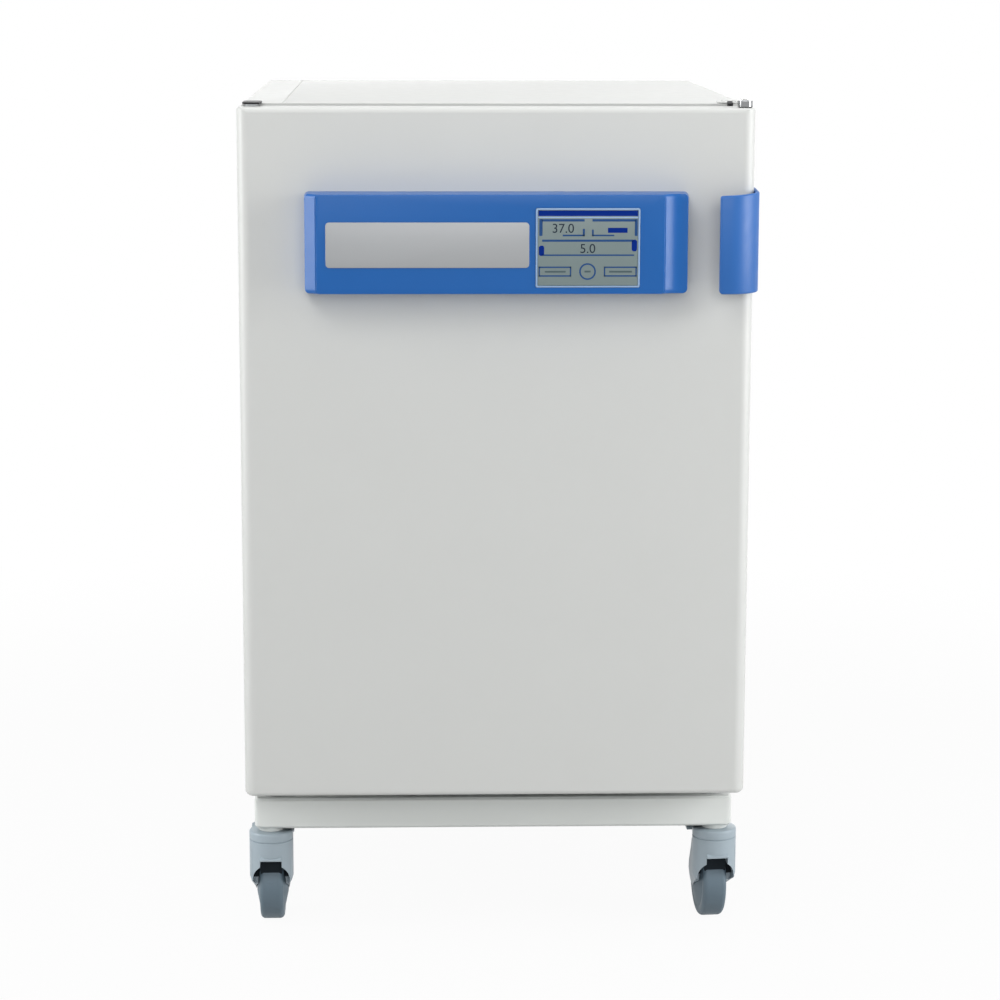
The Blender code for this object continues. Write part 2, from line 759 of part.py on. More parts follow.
def base_tray():
    """The base sheet with its four round feet, which stand on the frame's corners."""
    half = CABINET_WIDTH / 2 - BASE_MARGIN
    back = CABINET_BACK - BASE_MARGIN
    top = CABINET_BOTTOM - GAP
    foot_bottom = STAND_BOTTOM + TUBE + GAP
    foot_x = STAND_WIDTH / 2 - FOOT_INSET
    front_y, back_y = STAND_BEHIND_DOOR_FRONT + FOOT_INSET, STAND_BACK - FOOT_INSET
    tray = loft(
        [
            level((-half, front_y - FOOT_DIAMETER / 2), (half, back), BASE_MARGIN, top - BASE_SHEET),
            level((-half, front_y - FOOT_DIAMETER / 2), (half, back), BASE_MARGIN, top),
        ]
    )
    radius = FOOT_DIAMETER / 2
    feet = []
    for x in (-foot_x, foot_x):
        for y in (front_y, back_y):
            profile = [(radius, foot_bottom), (radius, foot_bottom + FOOT_FLARE),
                       (radius - FOOT_FLARE, foot_bottom + 2 * FOOT_FLARE),
                       (radius - FOOT_FLARE, top - BASE_SHEET / 2)]
            feet.append(turned(profile, "Z", at(x, y, 0), segments=FOOT_SEGMENTS))
    tray = fused(tray, *feet)
    plate_notch = block(
        (-half - OVERSHOOT, 0, top - HINGE_PLATE - GAP),
        (HINGE_X + HINGE_PLATE_WIDTH / 2 + GAP, CABINET_FRONT + HINGE_PLATE_TAIL + GAP, top + OVERSHOOT),
    )
    node("base_tray", cut_from(tray, plate_notch), rubber("foot_rubber"))


def stand_frame():
    half = STAND_WIDTH / 2
    front, back = STAND_BEHIND_DOOR_FRONT, STAND_BACK
    low, high, edge = STAND_BOTTOM, STAND_BOTTOM + TUBE, TUBE_ROUNDING

    def loop(inset, z):
        radius = max(STAND_CORNER - inset, TUBE_ROUNDING)
        return level((-half + inset, front + inset), (half - inset, back - inset), radius, z)

    wide = TUBE
    frame = loft(
        [
            loop(edge, low), loop(0, low + edge), loop(0, high - edge), loop(edge, high),
            loop(wide - edge, high), loop(wide, high - edge), loop(wide, low + edge),
            loop(wide - edge, low),
        ],
        True,
    )
    stems = []
    for x in (-CASTOR_X, CASTOR_X):
        for y in (CASTOR_FRONT_Y, CASTOR_REAR_Y):
            spacer, stem = CASTOR_SPACER_DIAMETER / 2, CASTOR_STEM_DIAMETER / 2
            bottom = CASTOR_TOP + GAP
            profile = [(spacer, low + edge), (spacer, bottom), (stem, bottom),
                       (stem, bottom - CASTOR_STEM_LENGTH)]
            stems.append(turned(profile, "Z", at(x, y, 0), segments=SMALL_SEGMENTS))
    node("stand_frame", fused(frame, *stems), stand_grey())


def castor_housing_mesh():
    """Swivel head with its groove, and a fork down to the axle, with a window and an arch at the front."""
    radius, top, edge = CASTOR_HEAD_DIAMETER / 2, CASTOR_TOP, CASTOR_HEAD_ROUNDING
    groove = top - CASTOR_GROOVE_DROP
    lip = CASTOR_GROOVE_WIDTH / 2
    head = turned(
        [
            (radius - edge, top), (radius, top - edge), (radius, groove + lip),
            (radius - CASTOR_GROOVE_DEPTH, groove), (radius, groove - lip),
            (radius, CASTOR_SKIRT_BOTTOM),
        ],
        "Z", (0, 0, 0),
    )
    fork = prism(fork_outline(), "X", -FORK_WIDTH / 2, FORK_WIDTH / 2)
    ends = [e for e in fork.edges if abs(e.verts[0].co.x - e.verts[1].co.x) < GAP]
    bmesh.ops.bevel(fork, geom=ends, offset=SHEET / 2, segments=1, profile=0.5, affect="EDGES")
    axle_at = (0, CASTOR_TRAIL, WHEEL_RADIUS)
    body = fused(head, fork)
    well = turned(wheel_side(WHEEL_CLEARANCE, WHEEL_SIDE_GAP), "X", axle_at)
    window = prism([(-WINDOW_WIDTH / 2, WHEEL_RADIUS), (WINDOW_WIDTH / 2, WHEEL_RADIUS),
                    (WINDOW_WIDTH / 2, WINDOW_TOP), (-WINDOW_WIDTH / 2, WINDOW_TOP)],
                   "Y", -CASTOR_HEAD_DIAMETER, 0)
    arch = rod("Y", (0, 0, ARCH_CENTRE), ARCH_RADIUS, -CASTOR_HEAD_DIAMETER, 0, SMALL_SEGMENTS)
    bore = rod("Z", (0, 0, 0), CASTOR_STEM_DIAMETER / 2 + GAP,
               top - CASTOR_STEM_LENGTH - 2 * GAP, top + OVERSHOOT, SMALL_SEGMENTS)
    for tool in (well, window, arch, bore):
        body = cut_from(body, tool)
    reach = FORK_WIDTH / 2 - WHEEL_SIDE_GAP
    axle = rod("X", axle_at, AXLE_DIAMETER / 2, -reach, reach, SMALL_SEGMENTS)
    return fused(body, axle)


def fork_outline():
    """Side outline of the fork in (y, z): from the head back and down to a lobe round the axle."""
    front = -CASTOR_HEAD_DIAMETER / 4
    points = [(front, CASTOR_SKIRT_BOTTOM + SHEET), (front, FORK_TOP[1]), FORK_TOP, *FORK_BACK]
    for i in range(FORK_LOBE_STEPS + 1):
        angle = FORK_LOBE_START + (FORK_LOBE_END - FORK_LOBE_START) * i / FORK_LOBE_STEPS
        points.append((CASTOR_TRAIL + FORK_LOBE * math.cos(angle),
                       WHEEL_RADIUS + FORK_LOBE * math.sin(angle)))
    return points


def wheel_side(grow, side_gap):
    """The wheel's outline as (radius, half width) from one hub face to the other, grown on all sides."""
    half_profile = [
        (WHEEL_HUB[0] + grow, WHEEL_HUB[1] + side_gap),
        (WHEEL_SHOULDER[0] + grow, WHEEL_SHOULDER[1] + side_gap),
        (WHEEL_CONE_RADIUS + grow, WHEEL_WIDTH / 2 + side_gap),
        (WHEEL_RADIUS + grow, WHEEL_WIDTH / 2 + side_gap),
    ]
    return half_profile + [(radius, -x) for radius, x in half_profile[::-1]]


def castor_wheel_mesh():
    """A wheel with coned sides and a flat tread with softened edges."""
    profile = wheel_side(0.0, 0.0)
    tread = WHEEL_WIDTH / 2
    middle = len(profile) // 2
    profile[middle - 1:middle + 1] = [
        (WHEEL_RADIUS - WHEEL_EDGE, tread), (WHEEL_RADIUS, tread - WHEEL_EDGE),
        (WHEEL_RADIUS, WHEEL_EDGE - tread), (WHEEL_RADIUS - WHEEL_EDGE, -tread),
    ]
    bore = AXLE_DIAMETER / 2 + GAP
    profile = [(bore, WHEEL_HUB[1]), *profile, (bore, -WHEEL_HUB[1])]
    return turned(profile, "X", (0, CASTOR_TRAIL, WHEEL_RADIUS), closed=True)


def braked_housing_mesh():
    """The castor housing with two lugs behind its head and the pin that the pedal turns on."""
    y, z = PEDAL_PIVOT
    half, inner = PEDAL_LUG_WIDTH / 2, PEDAL_BARREL_WIDTH / 2 + GAP
    outer = inner + PEDAL_LUG_THICKNESS
    root = CASTOR_HEAD_DIAMETER / 2 - PEDAL_LUG_ROOT
    outline = rounded_rectangle((root, z - half), (y + half, z + half), half / 2, 1)
    lugs = [prism(outline, "X", -outer, -inner), prism(outline, "X", inner, outer)]
    reach = inner + PEDAL_LUG_THICKNESS / 2
    pin = rod("X", (0, y, z), PEDAL_PIN_DIAMETER / 2, -reach, reach, SMALL_SEGMENTS)
    return fused(fused(castor_housing_mesh(), *lugs), pin)


def brake_pedal():
    """A pedal behind the head: a barrel on its pin, and a neck with a wide tread leaning up and back."""
    centre = Vector((0, *PEDAL_PIVOT))
    neck, half, corner = PEDAL_BARREL_WIDTH / 2, PEDAL_WIDTH / 2, PEDAL_CORNER
    barrel = rod("X", centre, PEDAL_BARREL_DIAMETER / 2, -neck, neck, SMALL_SEGMENTS)
    right = [(neck, 0), (neck, PEDAL_NECK - corner), (neck + corner, PEDAL_NECK), (half, PEDAL_NECK),
             (half, PEDAL_LENGTH - corner), (half - corner, PEDAL_LENGTH)]
    outline = right + [(-x, y) for x, y in right[::-1]]
    tread = prism(outline, "Z", -PEDAL_THICKNESS / 2, PEDAL_THICKNESS / 2)
    bmesh.ops.rotate(tread, verts=tread.verts, cent=(0, 0, 0), matrix=Matrix.Rotation(PEDAL_TILT, 3, "X"))
    bmesh.ops.translate(tread, verts=tread.verts, vec=centre)
    bore = rod("X", centre, PEDAL_PIN_DIAMETER / 2 + GAP, -PEDAL_WIDTH, PEDAL_WIDTH, SMALL_SEGMENTS)
    return cut_from(fused(barrel, tread), bore)


def castors():
    """Four castors: the front two carry a brake pedal. Each copy shares the meshes of the first."""
    places = {
        1: (-CASTOR_X, CASTOR_FRONT_Y), 2: (CASTOR_X, CASTOR_FRONT_Y),
        3: (-CASTOR_X, CASTOR_REAR_Y), 4: (CASTOR_X, CASTOR_REAR_Y),
    }
    shared = {}
    axle = (0, CASTOR_TRAIL, WHEEL_RADIUS)
    tyre = rubber("wheel_rubber", (0.13, 0.17, 0.20))
    for number, (x, y) in places.items():
        swivel = pivot(f"castor_{number}_swivel", at(x, y, 0), turn=CASTOR_REST_SWIVEL[number])
        pieces = [("wheel", castor_wheel_mesh, axle, tyre)]
        if y == CASTOR_FRONT_Y:
            pieces.append(("housing", braked_housing_mesh, (0, 0, 0), castor_plastic()))
            pieces.append(("brake_pedal", brake_pedal, (0, *PEDAL_PIVOT), castor_plastic()))
        else:
            pieces.append(("housing", castor_housing_mesh, (0, 0, 0), castor_plastic()))
        for label, maker, origin, finish in pieces:
            if maker not in shared:
                bm = maker()
                bmesh.ops.translate(bm, verts=bm.verts, vec=-Vector(origin))
                mesh = mesh_of(bm, f"castor_{label}")
                mesh.shade_smooth()
                mesh.set_sharp_from_angle(angle=SMOOTH_ANGLE)
                mesh.materials.append(finish)
                shared[maker] = mesh
            obj = bpy.data.objects.new(f"castor_{number}_{label}", shared[maker])
            bpy.context.scene.collection.objects.link(obj)
            obj.parent = swivel
            obj.location = origin


def hinge_plates():
    """Plates on the cabinet's top and under it, each with the pin that the door turns on."""
    half = HINGE_PLATE_WIDTH / 2
    front = HINGE_Y - HINGE_PLATE_REACH
    back = CABINET_FRONT + HINGE_PLATE_TAIL
    pin = HINGE_PIN_DIAMETER / 2
    places = (
        ("hinge_plate_upper", CABINET_TOP + GAP, 1),
        ("hinge_plate_lower", CABINET_BOTTOM - GAP, -1),
    )
    for name, face, way in places:
        far = face + way * HINGE_PLATE
        low, high = sorted((face, far))
        corners = (HINGE_X - half, front), (HINGE_X + half, back)
        plate = loft([level(*corners, half / 2, low), level(*corners, half / 2, high)])
        start, end = sorted((face + way * HINGE_PLATE / 2, face - way * HINGE_PIN_LENGTH))
        pin_rod = rod("Z", at(HINGE_X, HINGE_Y, 0), pin, start, end, SMALL_SEGMENTS)
        node(name, fused(plate, pin_rod), black_steel())


def door_outline(inset, y, radius=DOOR_CORNER):
    half = DOOR_WIDTH / 2 - inset
    return mirrored_upright(half, DOOR_BOTTOM + inset, DOOR_TOP - inset, radius, y)


def door_front_loops(wall, steps=CORNER_STEPS):
    """Loops of the door's front with softer vertical edges than ends; wall offsets them inwards."""
    loops = []
    for i in range(steps + 1):
        angle = math.pi / 2 * i / steps
        depth = DOOR_SIDE_ROUNDING * (1 - math.cos(angle))
        side = DOOR_SIDE_ROUNDING * (1 - math.sin(angle))
        below = max(DOOR_END_ROUNDING - depth, 0.0)
        end = DOOR_END_ROUNDING - math.sqrt(DOOR_END_ROUNDING**2 - below**2)
        half = DOOR_WIDTH / 2 - wall - side
        low, high = DOOR_BOTTOM + wall + end, DOOR_TOP - wall - end
        loops.append(mirrored_upright(half, low, high, DOOR_CORNER, depth + wall))
    return loops


def door_shell(carrier):
    """The painted outer pan: rounded front, side walls and a rear rim."""
    back = DOOR_THICKNESS
    outside = door_front_loops(0.0, CORNER_STEPS + 1) + [door_outline(0.0, back)]
    inside = [door_outline(SHEET, back)] + door_front_loops(SHEET)[::-1]
    shell = loft(outside + inside)
    node("door_shell", cut_from(shell, *door_bores(GAP)), painted_white(), carrier)


def door_bores(clearance):
    """Holes for the hinge bushes and for the catch roller's pin."""
    radius = BUSH_DIAMETER / 2 + clearance
    depth = HINGE_PIN_LENGTH + 2 * SHEET
    centre = at(HINGE_X, HINGE_Y, 0)
    catch = at(CATCH_X, CATCH_FROM_FRONT, 0)
    return (
        rod("Z", centre, radius, DOOR_BOTTOM - OVERSHOOT, DOOR_BOTTOM + depth, SMALL_SEGMENTS),
        rod("Z", centre, radius, DOOR_TOP - depth, DOOR_TOP + OVERSHOOT, SMALL_SEGMENTS),
        rod("Z", catch, CATCH_PIN_DIAMETER / 2 + clearance, DOOR_TOP - CATCH_PIN_DEPTH - SHEET,
            DOOR_TOP + OVERSHOOT, SMALL_SEGMENTS),
    )


def recess_loop(grow, y):
    margin = RECESS_MARGIN - grow
    half = DOOR_WIDTH / 2 - margin
    return mirrored_upright(half, DOOR_BOTTOM + recess_drop() - grow, DOOR_TOP - recess_rise() + grow,
                            RECESS_CORNER + grow, y)


def recess_drop():
    """The recess starts this far above the door's lower edge: level with the glass door's, less a margin."""
    return PANE_BOTTOM - DOOR_BOTTOM - RECESS_DEPTH


def recess_rise():
    return DOOR_TOP - PANE_TOP - RECESS_DEPTH


def door_liner(carrier):
    """The inner pan of the door, with a recess that takes the glass door."""
    floor, rim = DOOR_THICKNESS - RECESS_DEPTH, DOOR_THICKNESS
    sheet = LINER_SHEET
    edge = SHEET + GAP
    liner = loft(
        [
            recess_loop(-RECESS_DRAFT, floor),
            recess_loop(0.0, floor + RECESS_DRAFT),
            recess_loop(0.0, rim),
            door_outline(edge, rim),
            door_outline(edge, rim - sheet),
            recess_loop(sheet, rim - sheet),
            recess_loop(sheet, floor - sheet),
        ]
    )
    node("door_liner", liner, painted_white(), carrier)


def door_insulation(carrier):
    """The foam core between the door's two pans, with pockets for the hinge bushes."""
    grow = LINER_SHEET + GAP
    back = DOOR_THICKNESS - LINER_SHEET - GAP
    wall = SHEET + GAP
    core = loft(
        door_front_loops(wall)
        + [
            door_outline(wall, back),
            recess_loop(grow, back),
            recess_loop(grow, DOOR_THICKNESS - RECESS_DEPTH - LINER_SHEET - GAP),
        ]
    )
    node("door_insulation", cut_from(core, *door_bores(GAP)), foam(), carrier)


def door_gasket(carrier):
    """The folded seal between the door and the cabinet's front frame."""
    inner = GASKET_MARGIN + GASKET_WIDTH
    front = DOOR_THICKNESS + GAP
    steps = (0.0, 0.25, 0.5, 0.75, 1.0)
    pinch = (0.0, 0.0, 1.0, 0.0, 0.0)
    outside = [
        door_outline(GASKET_MARGIN + GASKET_SQUEEZE * p, front + GASKET_THICKNESS * s)
        for s, p in zip(steps, pinch)
    ]
    inside = [
        door_outline(inner - GASKET_SQUEEZE * p, front + GASKET_THICKNESS * s)
        for s, p in zip(steps, pinch)
    ]
    node("door_gasket", loft(outside + inside[::-1], True), rubber("door_seal", (0.3, 0.31, 0.32)),
         carrier)


def hinge_bushes(carrier):
    sleeve, bore, flange = BUSH_DIAMETER / 2, HINGE_PIN_DIAMETER / 2 + GAP, BUSH_FLANGE / 2
    places = (
        ("hinge_bush_upper", CABINET_TOP, DOOR_TOP, 1),
        ("hinge_bush_lower", CABINET_BOTTOM, DOOR_BOTTOM, -1),
    )
    for name, face, door_face, way in places:
        top = face
        neck = door_face + way * GAP
        end = face - way * (HINGE_PIN_LENGTH + SHEET)
        profile = [(bore, top), (flange, top), (flange, neck), (sleeve, neck), (sleeve, end), (bore, end)]
        bush = turned(profile, "Z", at(HINGE_X, HINGE_Y, 0), True, SMALL_SEGMENTS)
        node(name, bush, material("bush_nylon", (0.06, 0.06, 0.065), 0.5), carrier)


def control_panel(carrier):
    """The blue housing: a sloped left end, a flat front and a concave cove at the right end."""
    back = -GAP
    low, high = DOOR_BOTTOM + PANEL_BOTTOM, DOOR_BOTTOM + PANEL_BOTTOM + PANEL_HEIGHT
    loops = []
    for i in range(COVE_STEPS + 1):
        angle = math.pi / 2 * i / COVE_STEPS
        depth = math.sin(angle)
        y = -PANEL_DEPTH + (PANEL_DEPTH + back) * depth
        right = PANEL_RIGHT - (PANEL_RIGHT - PANEL_FRONT_RIGHT) * math.cos(angle)
        left = PANEL_FRONT_LEFT + (PANEL_LEFT - PANEL_FRONT_LEFT) * depth
        draft = PANEL_DRAFT * (1 - depth)
        if i == 0:
            face = PANEL_EDGE
            loops.append(upright((left + face, low + draft + face), (right - face, high - draft - face),
                                 PANEL_CORNER - face, y))
            y += face / 2
        loops.append(upright((left, low + draft), (right, high - draft), PANEL_CORNER, y))
    pocket = display_box(GAP, -PANEL_DEPTH - OVERSHOOT, -PANEL_DEPTH + DISPLAY_SUNK)
    node("control_panel", cut_from(loft(loops), pocket), blue_plastic(), carrier)


def display_box(grow, front, back):
    low = (DISPLAY_LEFT - grow, DOOR_BOTTOM + DISPLAY_BOTTOM - grow)
    high = (DISPLAY_LEFT + DISPLAY_WIDTH + grow, DOOR_BOTTOM + DISPLAY_BOTTOM + DISPLAY_HEIGHT + grow)
    return loft([upright(low, high, DISPLAY_CORNER, front), upright(low, high, DISPLAY_CORNER, back)])


def display(carrier):
    front, back = -PANEL_DEPTH - DISPLAY_PROUD, -PANEL_DEPTH + DISPLAY_SUNK - GAP
    seat = front + SCREEN_THICKNESS + GAP
    bezel = cut_from(display_box(0.0, front, back), display_box(-DISPLAY_BEZEL, front - OVERSHOOT, seat))
    node("display_bezel", bezel, material("bezel_grey", (0.25, 0.33, 0.4), 0.4), carrier)
    screen = display_box(-DISPLAY_BEZEL - GAP, front + GAP, seat - GAP)
    node("display_screen", screen, material("screen_green", (0.17, 0.22, 0.22), 0.15), carrier)


def label_plate(carrier):
    low = (LABEL_LEFT, DOOR_BOTTOM + LABEL_BOTTOM)
    high = (LABEL_LEFT + LABEL_WIDTH, DOOR_BOTTOM + LABEL_BOTTOM + LABEL_HEIGHT)
    back = -PANEL_DEPTH - GAP
    front = back - LABEL_THICKNESS
    plate = loft([upright(low, high, LABEL_CORNER, front), upright(low, high, LABEL_CORNER, back)])
    node("label_plate", plate, material("brushed_plate", (0.38, 0.38, 0.39), 0.3, 0.9), carrier)


def handle_section():
    """The blade's middle line in (x, y): a flat front, a quarter turn and a tail along the door's side."""
    half = HANDLE_THICKNESS / 2
    right = DOOR_WIDTH / 2 + GAP + HANDLE_TAIL_THICKNESS / 2
    front = -HANDLE_FRONT + half
    bend_x = right - HANDLE_LEFT - HANDLE_FLAT
    bend_y = HANDLE_FRONT - half
    points = [(HANDLE_LEFT, front)]
    for i in range(HANDLE_ARC_STEPS + 1):
        angle = math.pi / 2 * i / HANDLE_ARC_STEPS
        points.append((HANDLE_LEFT + HANDLE_FLAT + bend_x * math.sin(angle),
                       front + bend_y * (1 - math.cos(angle))))
    points.append((right, HANDLE_TAIL))
    return points


def handle_mesh():
    """A curved blade: its section follows handle_section, its lower and upper edges have round corners."""
    points = handle_section()
    lengths = [0.0]
    for (x0, y0), (x1, y1) in zip(points, points[1:]):
        lengths.append(lengths[-1] + math.hypot(x1 - x0, y1 - y0))
    whole = lengths[-1]
    loops = []
    for i, (x, y) in enumerate(points):
        before, after = points[max(i - 1, 0)], points[min(i + 1, len(points) - 1)]
        along = Vector((after[0] - before[0], after[1] - before[1], 0)).normalized()
        done, left = lengths[i], whole - lengths[i]
        share = min(done / (whole - HANDLE_TAIL), 1.0)
        thickness = HANDLE_THICKNESS + (HANDLE_TAIL_THICKNESS - HANDLE_THICKNESS) * share
        out = Vector((along.y, -along.x, 0)) * thickness / 2
        low = DOOR_BOTTOM + HANDLE_BOTTOM
        low += corner_lift(done, HANDLE_CORNER_FRONT) + corner_lift(left, HANDLE_CORNER_BACK)
        high = DOOR_BOTTOM + HANDLE_TOP_FRONT + (HANDLE_TOP_BACK - HANDLE_TOP_FRONT) * done / whole
        high -= corner_lift(done, HANDLE_TOP_CORNER)
        middle = at(x, y, 0)
        edge = HANDLE_THICKNESS / 3
        loop = []
        for side, z in ((1, low + edge), (1, high - edge), (0.4, high), (-0.4, high),
                        (-1, high - edge), (-1, low + edge), (-0.4, low), (0.4, low)):
            point = middle + out * side
            point.z = z
            loop.append(point)
        loops.append(loop)
    return loft(loops)


def corner_lift(distance, radius):
    """How far a round corner of this radius lifts an edge at this distance from its end."""
    if distance >= radius:
        return 0.0
    return radius - math.sqrt(radius**2 - (radius - distance) ** 2)


def door_handle(carrier):
    node("door_handle", handle_mesh(), blue_plastic(), carrier)


def catch(carrier):
    """Roller on a pin at the door's top corner, and its keeper under a plate on the cabinet's top."""
    centre = at(CATCH_X, CATCH_FROM_FRONT, 0)
    pin = CATCH_PIN_DIAMETER / 2
    top = DOOR_TOP + GAP + CATCH_ROLLER_HEIGHT + GAP
    profile = [(pin, DOOR_TOP - CATCH_PIN_DEPTH), (pin, top), (CATCH_CAP_DIAMETER / 2, top),
               (CATCH_CAP_DIAMETER / 2, top + CATCH_CAP_HEIGHT)]
    node("catch_pin", turned(profile, "Z", centre, segments=SMALL_SEGMENTS), black_steel(), carrier)
    roller_pivot = pivot("catch_roller_axis", centre + Vector((0, 0, DOOR_TOP)), carrier)
    outer, edge = CATCH_ROLLER_DIAMETER / 2, SHEET / 2
    low, high = DOOR_TOP + GAP, DOOR_TOP + GAP + CATCH_ROLLER_HEIGHT
    profile = [(pin + GAP, low), (outer - edge, low), (outer, low + edge), (outer, high - edge),
               (outer - edge, high), (pin + GAP, high)]
    chrome = material("chrome", (0.8, 0.8, 0.8), 0.12, 1.0)
    node("catch_roller", turned(profile, "Z", centre, True), chrome, roller_pivot)
    base = CABINET_TOP + GAP
    plate_top = base + CATCH_PLATE_THICKNESS
    plate = soft_block((CATCH_X - CATCH_PLATE_LEFT, CABINET_FRONT, base),
                       (CATCH_X + CATCH_PLATE_RIGHT, CABINET_FRONT + CATCH_PLATE_DEPTH, plate_top),
                       SHEET / 4)
    head = CATCH_SCREW_DIAMETER / 2
    screws = [
        turned([(head, base + SHEET / 2), (head, plate_top + CATCH_SCREW_HEIGHT / 2),
                (head / 2, plate_top + CATCH_SCREW_HEIGHT)], "Z",
               at(CATCH_X + x, CABINET_FRONT + CATCH_PLATE_DEPTH / 2, 0), segments=SMALL_SEGMENTS)
        for x in CATCH_SCREWS
    ]
    node("catch_plate", fused(plate, *screws), painted_white())
    keeper_x = CATCH_X - KEEPER_FROM_ROLLER
    keeper_back = CABINET_FRONT - GAP
    keeper_front = keeper_back - KEEPER_REACH
    outline = [
        (keeper_back, base - KEEPER_TAIL), (keeper_back, base + KEEPER_HEIGHT),
        (keeper_back - KEEPER_NOSE, base + KEEPER_HEIGHT), (keeper_front, base + SHEET / 2),
        (keeper_front, base), (keeper_back - KEEPER_NOSE, base - KEEPER_TAIL),
    ]
    keeper = prism([(y + FRONT, z) for y, z in outline], "X",
                   keeper_x - KEEPER_WIDTH / 2, keeper_x + KEEPER_WIDTH / 2)
    node("catch_keeper", keeper, rubber("keeper_black", (0.02, 0.02, 0.02)))


def glass_door(carrier):
    edge = PANE_EDGE_ROUNDING
    front, back = PANE_FRONT, PANE_BACK

    def pane_loop(inset, y):
        return mirrored_upright(PANE_HALF - inset, PANE_BOTTOM + inset, PANE_TOP - inset, PANE_CORNER, y)

    pane = loft([pane_loop(edge, front), pane_loop(0, front + edge), pane_loop(0, back - edge),
                 pane_loop(edge, back)])
    shaft = rod("Y", at(KNOB_X, 0, CHAMBER_MIDDLE), KNOB_SHAFT / 2 + GAP, front - OVERSHOOT,
                back + OVERSHOOT, SMALL_SEGMENTS)
    glass = material("glass", (0.75, 0.85, 0.84), 0.05, 0.0, 0.35)
    node("glass_pane", cut_from(pane, shaft), glass, carrier)
    outer, inner = PANE_GASKET_INSET, PANE_GASKET_INSET + PANE_GASKET_WIDTH
    seal_front, seal_back = back + GAP, back + GAP + PANE_GASKET_THICKNESS
    seal = loft(
        [pane_loop(outer, seal_front), pane_loop(outer + edge, seal_back),
         pane_loop(inner - edge, seal_back), pane_loop(inner, seal_front)],
        True,
    )
    node("glass_gasket", seal, rubber("silicone_seal", (0.6, 0.6, 0.6)), carrier)


def glass_hinges(carrier):
    """A leaf with a pin on the front frame, and a clip with a knuckle on the pane, at top and bottom."""
    knuckle, pin = KNUCKLE_DIAMETER / 2, KNUCKLE_PIN / 2
    centre = at(PANE_HINGE_X, PANE_HINGE_Y, 0)
    places = (("upper", PANE_TOP - PANE_HINGE_INSET, 1), ("lower", PANE_BOTTOM + PANE_HINGE_INSET, -1))
    for label, outer_end, way in places:
        inner_end = outer_end - way * KNUCKLE_LENGTH
        low, high = sorted((outer_end, inner_end))
        barrel = ring("Z", centre, knuckle, pin + GAP, low, high, SMALL_SEGMENTS)
        clip = soft_block(
            (PANE_HINGE_X, PANE_FRONT - GAP - CLIP_THICKNESS, low),
            (PANE_HINGE_X + CLIP_LENGTH, PANE_FRONT - GAP, high), SHEET / 4,
        )
        bore = rod("Z", centre, pin + GAP, low - OVERSHOOT, high + OVERSHOOT, SMALL_SEGMENTS)
        node(f"glass_clip_{label}", cut_from(fused(clip, barrel), bore), stainless(), carrier)
        lug_start = outer_end + way * GAP
        lug_low, lug_high = sorted((lug_start, lug_start + way * HINGE_LUG))
        leaf_back = CABINET_FRONT - GAP
        leaf_low, leaf_high = sorted((lug_start + way * HINGE_LUG, inner_end))
        leaf = block(
            (PANE_HINGE_X - HINGE_LEAF_WIDTH / 2, leaf_back - HINGE_LEAF_THICKNESS, leaf_low),
            (PANE_HINGE_X + HINGE_LEAF_WIDTH / 2, leaf_back, leaf_high),
        )
        lug = block(
            (PANE_HINGE_X - knuckle, PANE_HINGE_Y - knuckle, lug_low),
            (PANE_HINGE_X + knuckle, leaf_back - HINGE_LEAF_THICKNESS / 2, lug_high),
        )
        pin_low, pin_high = sorted((lug_start + way * HINGE_LUG / 2, inner_end))
        pin_rod = rod("Z", centre, pin, pin_low, pin_high, SMALL_SEGMENTS)
        node(f"glass_hinge_{label}", fused(fused(leaf, lug), pin_rod), stainless())


def latch(carrier):
    """A lever knob through the pane whose tongue turns behind a keeper on the front frame."""
    axis = at(KNOB_X, 0, CHAMBER_MIDDLE)
    knob_pivot = pivot("latch_knob_axis", at(KNOB_X, PANE_FRONT, CHAMBER_MIDDLE), carrier)
    shaft, boss = KNOB_SHAFT / 2, KNOB_BOSS / 2
    front = PANE_FRONT - GAP
    washer = KNOB_WASHER_DIAMETER / 2
    profile = [
        (washer, PANE_BACK + GAP + KNOB_WASHER), (washer, PANE_BACK + GAP), (shaft, PANE_BACK + GAP),
        (shaft, front), (boss, front), (boss * 0.8, front - KNOB_FRONT),
    ]
    body = turned(profile, "Y", axis, segments=SMALL_SEGMENTS)
    lever_front = PANE_FRONT - KNOB_FRONT - GAP
    lever = soft_block(
        (KNOB_X - KNOB_LEVER_WIDTH / 2, lever_front - SHEET / 2, CHAMBER_MIDDLE - KNOB_LEVER_LENGTH),
        (KNOB_X + KNOB_LEVER_WIDTH / 2, lever_front + KNOB_LEVER_DEPTH, CHAMBER_MIDDLE + KNOB_LEVER_LENGTH),
        SHEET,
    )
    tongue = block(
        (KNOB_X - TONGUE_WIDTH / 2, front - TONGUE_THICKNESS, CHAMBER_MIDDLE),
        (KNOB_X + TONGUE_WIDTH / 2, front, CHAMBER_MIDDLE + TONGUE_LENGTH),
    )
    node("latch_knob", fused(body, lever, tongue), black_steel(), knob_pivot)
    keeper_left = PANE_HALF + LATCH_KEEPER_OUT
    sheet = LATCH_KEEPER_SHEET
    back = CABINET_FRONT - GAP
    lip_back = front - TONGUE_THICKNESS - 2 * GAP
    outline = [
        (keeper_left + LATCH_KEEPER_WIDTH, back), (keeper_left, back), (keeper_left, lip_back),
        (keeper_left - LATCH_KEEPER_LIP, lip_back), (keeper_left - LATCH_KEEPER_LIP, lip_back - sheet),
        (keeper_left + sheet, lip_back - sheet), (keeper_left + sheet, back - sheet),
        (keeper_left + LATCH_KEEPER_WIDTH, back - sheet),
    ]
    half = LATCH_KEEPER_HEIGHT / 2
    keeper = prism([(x, y + FRONT) for x, y in outline], "Z", CHAMBER_MIDDLE - half, CHAMBER_MIDDLE + half)
    node("latch_keeper", keeper, stainless())


